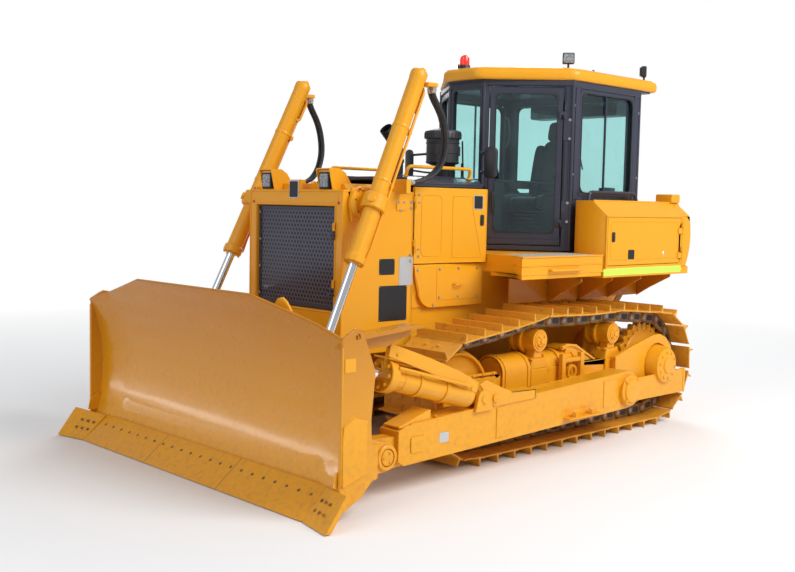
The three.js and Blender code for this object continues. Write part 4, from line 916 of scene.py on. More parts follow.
def shoe_shape(length):
    """Single-grouser shoe: plate with a dropped front lip and a raised rear lip, its grouser near the pin."""
    section = [
        (-0.045, 60), (-0.05, 66), (-0.035, 73), (0.035, 75), (0.06, 84), (0.085, 137), (0.10, 139),
        (0.125, 139), (0.14, 135), (0.165, 86), (0.20, 76), (0.80, 74), (0.93, 80), (0.975, 82),
        (0.985, 76), (0.95, 66), (0.90, 62), (0.30, 60),
    ]
    outline = [(t * length, o) for t, o in section]
    middle = slab(outline, AHEAD, UP, (0, -280, 0), (0, 560, 0), 3.0)
    return middle


def link_outline(length):
    """Side of a link: round bosses at both pins, a flat rail below and a seat for the shoe above."""
    left = arc(0, 0, 43, 100, 262, 8)
    rail = [(24, -48), (40, -50), (length - 40, -50), (length - 24, -48)]
    right = arc(length, 0, 43, -82, 80, 8)
    seat = [(length - 22, 52), (length - 34, 60), (34, 60), (22, 52)]
    return left + rail + right + seat


def make_tracks():
    """Shoes, bolts, links and pins of each chain, in place of its plain loop."""
    pins = pin_points()
    for side, sign in SIDES:
        frames, lengths = link_frames(pins, 1000)
        length = float(np.mean(lengths))
        shoes, chain, caps, studs = Solids(), Solids(), Solids(), Solids()
        shoes.copies(*shoe_shape(length), frames)
        shape = bolt_shape(15, 14)
        seats = [(t * length, y, 74) for t in (0.36, 0.70) for y in (-72, 72)]
        for m in frames:
            shoes.copies(*shape, [m @ translation(p) for p in seats])
        outline = link_outline(length)
        for m in frames:
            for y in (-1, 1):
                inner = slab(outline, AHEAD, UP, (0, y * 52, 0), (0, y * 34, 0), 4.0)
                chain.copies(*inner, [m])
                boss = rod((0, y * 60, 0), (0, y * 98, 0), 42, 5, 18)
                chain.copies(*boss, [m])
                # painted shade: a thin black sheet on each link's side stands for the shaded opening of its
                # window
                window = slab(
                    rounded(0.30 * length, 0.70 * length, -22, 30, 16, 3),
                    AHEAD, UP, (0, y * 86.5, 0), (0, y * 1.6, 0),
                )
                studs.copies(*window, [m])
                caps.copies(*rod((0, y * 97, 0), (0, y * 103, 0), 23, 3, 16), [m])
            chain.copies(*rod((0, -54, 0), (0, 54, 0), 32, 0.5, 16), [m])
        body = "machine"
        piece = shoes.finish(side + "track_shoes", body, "shoe_paint", sign, 30)
        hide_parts(side + "track")
        chain.finish(side + "track_links", body, "link_steel", sign, 35)
        studs.finish(side + "link_window_painted_shade", body, "black_paint", sign)
        caps.finish(side + "track_pins", body, "worn_steel", sign)


def translation(point):
    """Matrix that moves by a vector."""
    m = np.eye(4)
    m[:3, 3] = point
    return m


# ---------------------------------------------------------------- wheels


def gear(root, tip, teeth, y0, y1, z, steps=14):
    """Toothed rim: the radius swings between root and tip as a flattened cosine of the angle."""
    turn = np.arange(teeth * steps) * 2 * pi / (teeth * steps)
    wave = np.cos(turn * teeth)
    shape = 0.5 + 0.5 * np.sign(wave) * np.abs(wave) ** 0.55
    radius = root + (tip - root) * shape
    outline = np.c_[radius * np.cos(turn), z + radius * np.sin(turn)]
    return plate_y(outline, y0, y1, 6)


def make_wheels():
    """Sprockets, hubs, idlers and rollers as turned parts with their bolts."""
    for side, sign in SIDES:
        drive = Solids()
        drive.add(*gear(372, 409, 26, 965, 1035, SPROCKET_Z))
        profile = [
            (0, 0), (0, 298), (20, 306), (228, 330), (262, 330), (262, 352), (338, 352), (338, 318),
            (352, 300),
            (360, 232), (372, 214), (424, 206), (432, 206), (432, 226), (446, 230), (470, 230), (478, 224),
            (478, 196), (536, 190), (560, 184), (590, 178), (630, 168), (641, 150), (646, 60), (646, 0),
        ]
        drive.lathe(profile, (0, 700.5, SPROCKET_Z), LEFT, 72)
        drive.lathe([(0, 0), (0, 70), (8, 76), (18, 70), (20, 0)], (0, 1340, SPROCKET_Z), LEFT, 40)
        bolts(drive, circle_points(0, 1038, SPROCKET_Z, 342, 26, 7), LEFT, 14, 14)
        bolts(drive, circle_points(0, 1176, SPROCKET_Z, 212, 20), LEFT, 11, 12)
        bolts(drive, circle_points(0, 1340, SPROCKET_Z, 128, 10, 10), LEFT, 12, 13)
        wheel = drive.finish(side + "drive_wheel", "machine", "yellow_paint", sign, 34)
        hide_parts(side + "sprocket")

        idler = Solids()
        half = [
            (-130, 0), (-130, 60), (-124, 74), (-97, 76), (-96, 120), (-60, 130), (-52, 160), (-52, 300),
            (-62, 322), (-90, 336), (-95, 352), (-92, 357), (-46, 358), (-42, 372), (-36, 378),
        ]
        profile = half + [(-h, r) for h, r in reversed(half)]
        idler.lathe(profile, (WHEELBASE, 1000, IDLER_Z), LEFT, 72)
        made = idler.finish(side + "idler_wheel", "machine", "yellow_paint", sign, 34)
        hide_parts(side + "idler")

        rollers = Solids()
        z = 139 + 50 + 110
        for k in range(6):
            half = [
                (-134, 0), (-134, 96), (-128, 109), (-44, 109), (-40, 118), (-34, 118), (-30, 92), (-8, 90)
            ]
            profile = half + [(-h, r) for h, r in reversed(half)]
            rollers.lathe(profile, (460 + 360 * k, 1000, z), LEFT, 40)
        for face, out in ((863, -1), (1137, 1)):
            for k in range(6):
                x = 460 + 360 * k
                start = (x, face + out * 28, z)
                rollers.rod(start, (x, face + out * 44, z), 34, 4, 20)
        rollers.finish(side + "roller_wheels", "machine", "yellow_paint", sign, 34)


# ---------------------------------------------------------------- blade

FACE_X, FACE_Z, FACE_R = 4351, 650, 1403
CREST_Z, CREST_HALF, CORNER_Z, BLADE_HALF, WING, WING_SLOPE = 1445, 783, 1216, 1715, 1400, 0.17633


def face_x(z):
    """X of the face at a height: a circle of radius FACE_R whose deepest line is at FACE_Z."""
    return FACE_X + FACE_R - np.sqrt(FACE_R**2 - (np.asarray(z, float) - FACE_Z) ** 2)


def crest_z(y):
    """Height of the blade's top edge: level in the middle, falling straight to the corners."""
    fall = (np.abs(y) - CREST_HALF) / (BLADE_HALF - CREST_HALF)
    return CREST_Z - (CREST_Z - CORNER_Z) * np.clip(fall, 0, 1)


def wing_push(y):
    """Forward turn of the wings: zero in the middle, straight after a short rounded bend."""
    over = np.abs(y) - WING
    return WING_SLOPE * 0.5 * (
        over + np.sqrt(over**2 + 45**2)
    ) - WING_SLOPE * 0.5 * 45 * np.exp(-((over / 45) ** 2))


def make_blade_skin():
    """Smooth skin 2 mm over the CAD face: (share of height, Y) grid on the face's circle, plus its back."""
    rows, columns = 40, 121
    y = np.linspace(-BLADE_HALF + 1, BLADE_HALF - 1, columns)
    low = 208.0
    share = np.linspace(0, 1, rows)[:, None]
    z = low + share * (crest_z(y)[None, :] + 1.5 - low)
    x = face_x(z) + wing_push(y)[None, :] + 2.5
    front = np.stack([x, np.broadcast_to(y, z.shape), z], 2)
    back = front - np.array([9.0, 0, 0])
    grid = lambda r, c, layer: layer * rows * columns + r * columns + c
    faces = []
    for r in range(rows - 1):
        faces += [
            [grid(r, c, 0), grid(r, c + 1, 0), grid(r + 1, c + 1, 0), grid(r + 1, c, 0)]
            for c in range(columns - 1)
        ]
        faces += [
            [grid(r + 1, c, 1), grid(r + 1, c + 1, 1), grid(r, c + 1, 1), grid(r, c, 1)]
            for c in range(columns - 1)
        ]
    for c in range(columns - 1):
        faces.append([grid(0, c + 1, 0), grid(0, c, 0), grid(0, c, 1), grid(0, c + 1, 1)])
        faces.append(
            [grid(rows - 1, c, 0), grid(rows - 1, c + 1, 0), grid(rows - 1, c + 1, 1), grid(rows - 1, c, 1)]
        )
    for r in range(rows - 1):
        faces.append([grid(r, 0, 0), grid(r + 1, 0, 0), grid(r + 1, 0, 1), grid(r, 0, 1)])
        faces.append(
            [
                grid(r + 1, columns - 1, 0), grid(r, columns - 1, 0), grid(r, columns - 1, 1),
                grid(r + 1, columns - 1, 1),
            ]
        )
    skin = Solids().add(np.concatenate([front.reshape(-1, 3), back.reshape(-1, 3)]), faces)
    skin.finish("blade_skin", "blade", "moldboard_paint_with_painted_shade", 1, 50)


def make_blade_trim():
    """Edge joints, bolts, corner doublers, weld beads and the plates on the blade's ends."""
    trim, marks, heads, seams = Solids(), Solids(), Solids(), Solids()
    top, tip = np.array([4452.0, 200.0]), np.array([4690.0, 8.0])
    slope = unit(tip - top)
    normal = np.array([-slope[1], slope[0]])
    if normal[0] < 0:
        normal = -normal
    lay = np.array([normal[0], 0, normal[1]])
    run = np.array([slope[0], 0, slope[1]])
    on_edge = lambda y, down, out=0.0: np.array([top[0], y, top[1]]) + run * down + lay * out
    for y in np.linspace(-1420, 1420, 22):
        marks.rod(on_edge(y, 96, -1), on_edge(y, 96, 2.2), 13, 0.6, 16)
        marks.rod(on_edge(y, 96, 1.6), on_edge(y, 96, 3.0), 7, 0.4, 8)
    for y in (-508, 508):
        start = on_edge(y - 2.2, 2, -2)
        marks.slab(rect(0, 4.4, 0, 300), LEFT, run, start, lay * 2.7)
    for sign in (1, -1):
        a = np.array([4474, sign * 1521, 200.0])
        b = np.array([4690, sign * 1521, 8.0])
        c = np.array([4764, sign * 1857, 8.0])
        d = np.array([4590, sign * 1857, 236.0])
        out = unit(np.cross(c - a, d - b)) * sign
        out = out if out[0] > 0 else -out
        for s in (0.16, 0.36, 0.56):
            for t in (0.34, 0.62):
                p = (a * (1 - s) + d * s) * (1 - t) + (b * (1 - s) + c * s) * t
                marks.rod(p - out, p + out * 2.4, 13, 0.6, 16)
                marks.rod(p + out, p + out * 3.2, 7, 0.4, 8)
        y0, y1 = sign * 1716, sign * 1728
        low = [(4300, 300), (4512, 240), (4516, 560), (4508, 640), (4420, 700), (4300, 668)]
        heads.plate_y(low, y0, y1, 3)
        heads.plate_y(rect(4405, 4500, 1004, 1096), y0, sign * 1719, 1)
        seam = [(4519, y0, 250 + k * 40) for k in range(24)]
        seams.tube(np.array(seam) + [0, sign * 1, 0], 5.5, 8)
        seams.tube([(4350, y0, 668), (4420, y0, 704), (4508, y0, 642)], 5, 8)
        gusset = [(4395, 250), (4500, 225), (4560, 240), (4540, 330), (4400, 420), (4365, 420)]
        heads.plate_y(gusset, sign * 1690, sign * 1676, 3)
    rows = np.linspace(-BLADE_HALF + 10, BLADE_HALF - 10, 60)
    bead = np.c_[face_x(crest_z(rows)) + wing_push(rows) - 14, rows, crest_z(rows) + 1.0]
    trim.tube(bead, 14, 10)
    bottom = np.c_[face_x(207) + wing_push(rows) * 0.9 + 4 + 0 * rows, rows, 207 + 0 * rows]
    seams.tube(bottom[5:-5], 5, 8)
    trim.finish("blade_crest_bar", "blade", "moldboard_paint_with_painted_shade", 1, 40)
    marks.finish("edge_bolts", "blade", "link_steel", 1, 30)
    heads.finish("blade_end_doublers", "blade", "yellow_paint", 1, 30)
    seams.finish("blade_weld_beads", "blade", "yellow_paint", 1, 50)
    ribs = Solids()
    for y in (-1180, -560, 0, 560, 1180):
        for s in (-8, 8):
            ribs.plate_y([(4345, 500), (4200, 478), (4275, 860), (4345, 840)], y + s - 6, y + s + 6, 2)
    for y in (-1000, -330, 330, 1000):
        bolts(ribs, [(4262, y, 1000), (4262, y, 930)], (-1, 0, 0), 14, 12)
    ribs.finish("blade_back_ribs", "blade", "yellow_paint", 1, 30)
    sight = Solids()
    lug = [(890, 1285), (1150, 1285), (1140, 1345), (1075, 1421), (1026, 1448), (975, 1436), (915, 1370)]
    sight.plate_x(lug, 4474, 4494, 3)
    sight.finish("blade_lifting_lug", "blade", "yellow_paint", 1, 30)


# ---------------------------------------------------------------- push arms and struts

JOINT_X, JOINT_Z = 3975, 335  # ball joint between a push arm and the blade

TILT_REAR, TILT_FRONT = np.array([2936.0, 1480, 626]), np.array([4180.0, 1450, 974])


def arm_z(x):
    """Height of a push arm's centre line: straight from the trunnion to the front joint."""
    return 494 + (365 - 494) * (x - 950) / (3820 - 950)


def make_arm_details():
    """Bearing caps, steps, hose plates, weld beads and pads on each arm."""
    for side, sign in SIDES:
        arm = Solids()
        cap = [(0, 0), (0, 138), (16, 140), (22, 134), (24, 112), (40, 106), (46, 60), (46, 0)]
        arm.lathe(cap, (950, 1548, 480), LEFT, 48)
        bolts(arm, circle_points(950, 1571, 480, 122, 4, 45), LEFT, 15, 15)
        for y in (1334, 1526):
            line = [(x, y, arm_z(x) + (154 if y > 1400 else 155)) for x in np.linspace(1120, 3700, 14)]
            arm.tube(line, 6, 8)
        for x0, x1 in ((1160, 1330), (2620, 2760)):
            plate = [
                (x0, arm_z(x0) - 120), (x1, arm_z(x1) - 120), (x1, arm_z(x1) + 120), (x0, arm_z(x0) + 120)
            ]
            arm.plate_y(plate, 1529, 1537, 3)
        # step plate with two pegs, low on the arm's outer side
        z = arm_z(1650)
        arm.block(1430, 1900, 1529, 1606, z - 128, z - 116, 3)
        arm.plate_y([(1500, z - 120), (1840, z - 120), (1780, z - 60), (1560, z - 60)], 1529, 1537, 2)
        for x in (1560, 1790):
            arm.rod((x, 1580, z - 118), (x, 1580, z - 66), 11, 3, 16)
            arm.rod((x - 40, 1580, z - 70), (x + 40, 1580, z - 70), 10, 3, 16)
        # kerb plate beside the cylinder's rear pin, with its grease bolt
        kerb = [(2975, 742), (2900, 770), (2600, 650), (2290, 640), (2270, 560), (2800, arm_z(2800) + 140)]
        arm.plate_y(kerb, 1531, 1543, 3)
        arm.plate_y([(2290, 628), (2600, 638), (2600, 650), (2290, 640)], 1420, 1543, 2)
        arm.plate_y(rect(2290, 2302, 560, 636), 1420, 1543, 2)
        arm.lathe([(0, 0), (0, 30), (5, 34), (12, 34), (16, 26), (16, 0)], (2790, 1543, 618), LEFT, 28)
        for y in (1327, 1533):
            arm.plate_y(rounded(3560, 3700, arm_z(3630) - 60, arm_z(3630) + 60, 20), y, y + 5, 2)
        deflector = [
            (3480, arm_z(3480) + 153), (3800, arm_z(3800) + 140), (3800, arm_z(3800) + 152), (3500, 610),
            (3480, 606),
        ]
        arm.plate_y(deflector, 1345, 1515, 3)
        bolts(arm, [(3400, 1431 + d, arm_z(3400) + 155) for d in (-50, 50)], UP, 13, 12)
        arm.finish(side + "arm_details", side + "push_arm", "yellow_paint", sign, 34)
        Solids().plate_y(
            rounded(3300, 3400, arm_z(3350) - 38, arm_z(3350) + 38, 8), 1530, 1532.5, 0.8
        ).finish(side + "arm_blank_plate", side + "push_arm", "blank_plate", sign)
        eye = Solids()
        eye.rod((JOINT_X, 1316, JOINT_Z), (JOINT_X, 1338, JOINT_Z), 58, 5, 32)
        eye.rod((JOINT_X, 1566, JOINT_Z), (JOINT_X, 1588, JOINT_Z), 58, 5, 32)
        eye.hollow_ring(
            [(0, 66), (0, 92), (14, 92), (20, 84), (20, 66)], (JOINT_X, 1566, JOINT_Z), LEFT, 40
        )
        bolts(eye, circle_points(JOINT_X, 1587, JOINT_Z, 38, 3), LEFT, 9, 9)
        eye.finish(side + "arm_joint_caps", "blade", "yellow_paint", sign, 34)


def make_tilt_cylinder():
    """Tilt cylinder on the left: barrel with welded ports, bolted head, cover plate and rod."""
    u = unit(TILT_FRONT - TILT_REAR)
    at = lambda d: TILT_REAR + u * d
    barrel = Solids()
    barrel.lathe([(0, 0), (0, 70), (12, 92), (26, 97), (760, 97), (760, 0)], at(118), u, 48)
    barrel.lathe(
        [(0, 0), (0, 110), (6, 118), (60, 118), (66, 127), (84, 127), (90, 120), (90, 60), (90, 0)],
        at(950), u, 48,
    )
    a, b = basis(u)
    ring = [at(1040) + 92 * (cos(t) * a + sin(t) * b) for t in np.arange(8) * pi / 4]
    bolts(barrel, ring, u, 13, 16)
    side_line = lambda d, off, up: at(d) + np.array([0, off, up])
    barrel.tube(
        bent_path(
            [
                side_line(200, 88, 60), side_line(240, 116, 74), side_line(860, 116, 74),
                side_line(960, 106, 74),
            ],
            30,
        ),
        13, 12,
    )
    barrel.tube(
        bent_path(
            [
                side_line(180, -88, 60), side_line(220, -112, 74), side_line(400, -112, 74),
                side_line(430, -90, 60),
            ],
            30,
        ),
        13, 12,
    )
    for d in (420, 700):
        barrel.hollow_ring([(0, 97), (0, 106), (26, 106), (26, 97)], at(d), u, 40)
    barrel.finish("tilt_barrel_details", "tilt_cylinder", "yellow_paint", 1, 34)
    shield = Solids()
    up = unit(np.cross(u, [0, -1, 0]))
    up = up if up[2] > 0 else -up
    top = [(120, 116), (330, 158), (660, 196), (1090, 226)]
    spot = lambda d, h, y: at(d) + up * h + np.array([0, y, 0])
    outline = [(d, h) for d, h in top] + [(d, h - 10) for d, h in top[::-1]]
    shield.slab(outline, u, up, spot(0, 0, -92), (0, 186, 0), 2)
    skirt = [(d, h - 3) for d, h in top] + [(1090, 132), (700, 96), (330, 50), (120, 34)]
    shield.slab(skirt, u, up, spot(0, 0, 86), (0, 9, 0), 2)
    for d, h in ((190, 76), (1010, 176)):
        shield.slab(rect(-22, 22, -50, 40), LEFT, up, spot(d, h, 0), u * 12, 2)
        bolts(shield, [spot(d, h - 16, 95)], LEFT, 12, 11)
    shield.finish("tilt_cover", "tilt_cylinder", "yellow_paint", 1, 34)
    Solids().lathe(
        [(0, 0), (0, 46), (360, 46), (360, 0)], at(880), u, 40
    ).finish("tilt_rod_sleeve", "tilt_rod", "chrome", 1, 34)
    eye = Solids()
    eye.lathe([(0, 0), (0, 58), (18, 66), (50, 66), (62, 50), (62, 0)], at(1200), u, 40)
    eye.rod(TILT_FRONT + [0, -32.3, 0], TILT_FRONT + [0, 32.3, 0], 72.4, 5, 40)
    eye.rod(TILT_FRONT + [0, 98, 0], TILT_FRONT + [0, 113, 0], 60, 5, 32)
    eye.finish("tilt_rod_eye", "tilt_rod", "yellow_paint", 1, 34)


def make_brace():
    """Screw brace on the right: tube, sleeve with lock rings, and the round front eye."""
    rear, front = TILT_REAR * [1, -1, 1], TILT_FRONT * [1, -1, 1]
    u = unit(front - rear)
    length = np.linalg.norm(front - rear)
    at = lambda d: rear + u * d
    tube_part = Solids()
    tube_part.lathe(
        [(0, 0), (0, 50), (14, 60), (length - 274, 60), (length - 260, 50), (length - 260, 0)], at(130), u,
        40,
    )
    profile = [(0, 0), (0, 70), (10, 80), (length - 660, 80), (length - 650, 70), (length - 650, 0)]
    tube_part.lathe(profile, at(260), u, 40)
    for d in (300, length - 430):
        tube_part.hollow_ring([(0, 78), (0, 92), (44, 92), (44, 78)], at(d), u, 40)
    tube_part.rod(front + [0, -32.3, 0], front + [0, 32.3, 0], 72.4, 5, 40)
    tube_part.finish("brace_details", "blade_brace", "yellow_paint", 1, 34)


# ---------------------------------------------------------------- lift cylinders and hoses

LIFT_TOP, LIFT_GLAND = np.array([2914.0, 748, 3178]), np.array([3647.0, 812, 1647])
LIFT_YOKE, LIFT_EYE = np.array([3423.0, 792, 2115]), np.array([4005.0, 843, 900])
HOSE_ROUTE = [
    (3000, 694, 2290), (2930, 694, 2290), (2800, 735, 2330), (2700, 765, 2430), (2655, 775, 2570),
    (2665, 778, 2720), (2710, 776, 2850), (2790, 768, 2970), (2812, 766, 3020), (2812, 766, 3060),
]


def make_hoses():
    """Two hoses a side, lying beside each other along the CAD route, as tubes along smooth paths."""
    for side, sign in SIDES:
        for k, shift in enumerate((0, 44)):
            line = smooth_path([(x, y + shift, z) for x, y, z in HOSE_ROUTE], 4)
            line = line * [1, sign, 1]
            metres = (line - ORIGIN) * 0.001
            points, faces = tube(line, 16, 16)
            name = f"{side}lift_hose_{k + 1}"
            mesh = bpy.data.meshes.new(name)
            mesh.from_pydata(((points - ORIGIN) * 0.001).tolist(), [], faces)
            mesh.update()
            mesh.polygons.foreach_set("use_smooth", np.ones(len(mesh.polygons), bool))
            mesh.materials.append(finishes["hose_rubber"])
            piece = bpy.data.objects.new(name, mesh)
            bpy.context.scene.collection.objects.link(piece)
            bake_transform(piece)
            tuple(metres[0])
        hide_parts(side + "lift_hoses")
        low, high = Solids(), Solids()
        for shift in (0, 44):
            low.rod((3004, 694 + shift, 2290), (2944, 694 + shift, 2290), 20, 3, 20)
            low.rod((2990, 694 + shift, 2290), (2966, 694 + shift, 2290), 24, 3, 6)
            high.rod((2812, 766 + shift, 3062), (2812, 766 + shift, 3012), 20, 3, 20)
            high.rod((2812, 766 + shift, 3054), (2812, 766 + shift, 3034), 24, 3, 6)
        low.finish(side + "hose_fittings_low", "machine", "zinc_bolt", sign, 34)
        high.finish(side + "hose_fittings_high", side + "lift_yoke", "zinc_bolt", sign, 34)


def make_lift_cylinders():
    """Barrels with gland, head cap, pipe, clamps and eye; turned rods with their scraper rings."""
    u = unit(LIFT_TOP - LIFT_GLAND)
    length = float(np.linalg.norm(LIFT_TOP - LIFT_GLAND))
    at = lambda d: LIFT_GLAND + u * d
    back = unit(np.cross(np.cross(u, [1, 0, 0]), u)) * -1
    across = np.cross(u, back)
    for side, sign in SIDES:
        barrel = Solids()
        profile = [
            (0, 0), (0, 52), (4, 74), (10, 82), (62, 82), (68, 76), (78, 68), (length - 70, 68),
            (length - 62, 71),
            (length - 12, 71), (length - 2, 66), (length, 40), (length, 0),
        ]
        barrel.lathe(profile, LIFT_GLAND, u, 48)
        for d in (700, 1180):
            barrel.hollow_ring([(0, 68), (0, 71), (3, 72), (21, 72), (24, 71), (24, 68)], at(d), u, 40)
            foot = at(d + 14) + back * 84
            barrel.slab(rect(-26, 26, -20, 20), across, u, foot, back * 26, 3)
            bolts(barrel, [foot + back * 26 + across * s for s in (-14, 14)], back, 7, 8)
        for shift, first in ((-15, 60), (15, length - 300)):
            if first < 100:
                line = [at(50) + back * 60, at(60) + back * 100, at(180) + back * 100 + across * shift]
                line += [at(length - 140) + back * 100 + across * shift, at(length - 100) + back * 86]
            else:
                line = [at(length - 330) + back * 60, at(length - 320) + back * 100 + across * shift]
                line += [
                    at(length - 150) + back * 100 + across * shift,
                    at(length - 120) + back * 86 + across * shift,
                ]
            barrel.tube(bent_path(line, 34), 12, 12)
        ring = [at(-1) + 66 * (cos(t) * across + sin(t) * back) for t in np.arange(6) * pi / 3]
        bolts(barrel, ring, -u, 8, 9)
        barrel.rod(LIFT_TOP + u * -4 - across * 44, LIFT_TOP + u * -4 + across * 44, 34, 4, 24)
        piece = barrel.finish(side + "lift_barrel", side + "lift_cylinder", "yellow_paint", sign, 34)
        Solids().block(2787, 2900, 741, 835, 3060.5, 3094, 5).finish(
            side + "hose_port", side + "lift_cylinder", "yellow_paint", sign, 30
        )
        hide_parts(side + "lift_cylinder")
        bar_part = Solids()
        reach = float(np.linalg.norm(LIFT_EYE - LIFT_GLAND))
        down = unit(LIFT_EYE - LIFT_GLAND)
        start = LIFT_GLAND - down * 520
        bar_part.lathe(
            [(0, 0), (0, 33), (4, 36), (520 + reach - 60, 36), (520 + reach - 60, 0)], start, down, 40
        )
        piece = bar_part.finish(side + "lift_rod_bar", side + "lift_rod", "chrome", sign, 34)
        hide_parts(side + "lift_rod")
        eye = Solids()
        eye.lathe(
            [(0, 0), (0, 44), (8, 50), (70, 54), (84, 54), (84, 0)], LIFT_GLAND + down * (reach - 130),
            down, 40,
        )
        eye.rod(LIFT_EYE + [0, -28, 0], LIFT_EYE + [0, 28, 0], 70, 6, 40)
        eye.rod(LIFT_EYE + [0, -131, 0], LIFT_EYE + [0, 131, 0], 26, 3, 24)
        for y in (-132, 119):
            eye.rod(LIFT_EYE + [0, y, 0], LIFT_EYE + [0, y + 13, 0], 84, 4, 40)
        eye.finish(side + "lift_rod_eye", side + "lift_rod", "yellow_paint", sign, 34)
        yoke = Solids()
        ring = [(-62, 76), (-62, 92), (-54, 100), (54, 100), (62, 92), (62, 76)]
        yoke.hollow_ring(ring, LIFT_YOKE, u, 48)
        cross = unit([-0.773, -0.499, -0.391])
        for s in (-1, 1):
            yoke.rod(LIFT_YOKE + cross * s * 92, LIFT_YOKE + cross * s * 118, 34, 5, 28)
        yoke.finish(side + "yoke_ring", side + "lift_yoke", "yellow_paint", sign, 34)


# ---------------------------------------------------------------- engine bay and radiator guard

CLEANER_X, EXHAUST_X = 1850, 2440


def door_y(x):
    """Outer face of the engine door: straight to X 2450, then flaring out to the rear."""
    return np.interp(x, [1995, 2450, 2842], [700, 655, 650])


def guard_y(x):
    """Outer face of the guard's side, which narrows to the front."""
    return np.interp(x, [2850, 3590], [650, 613])


def bead_on(shell, points, surface, radius=4.0, closed=True, out=0.0):
    """Pressed line: a thin tube along (x, z) points laid on the surface's Y."""
    if closed:
        points = list(points) + [points[0]]
    p = np.array(points, float)
    fine = [p[0]]
    for a, b in zip(p[:-1], p[1:]):
        n = max(1, int(np.linalg.norm(b - a) / 60))
        fine += [a + (b - a) * (k + 1) / n for k in range(n)]
    fine = np.array(fine)
    line = np.c_[fine[:, 0], surface(fine[:, 0]) + out, fine[:, 1]]
    shell.tube(line, radius, 8)


def latch(shell, x, y, z, width=44, height=96):
    """Paddle latch: rounded frame with a sunken paddle and a key barrel."""
    frame_line = rounded(x - width / 2, x + width / 2, z - height / 2, z + height / 2, 12, 4)
    shell.plate_y(frame_line, y, y + 7, 2)
    shell.plate_y(rounded(x - 13, x + 13, z - 34, z + 14, 6, 3), y + 6, y + 12, 2)
    shell.rod((x, y + 6, z + 30), (x, y + 11, z + 30), 8, 1.5, 16)


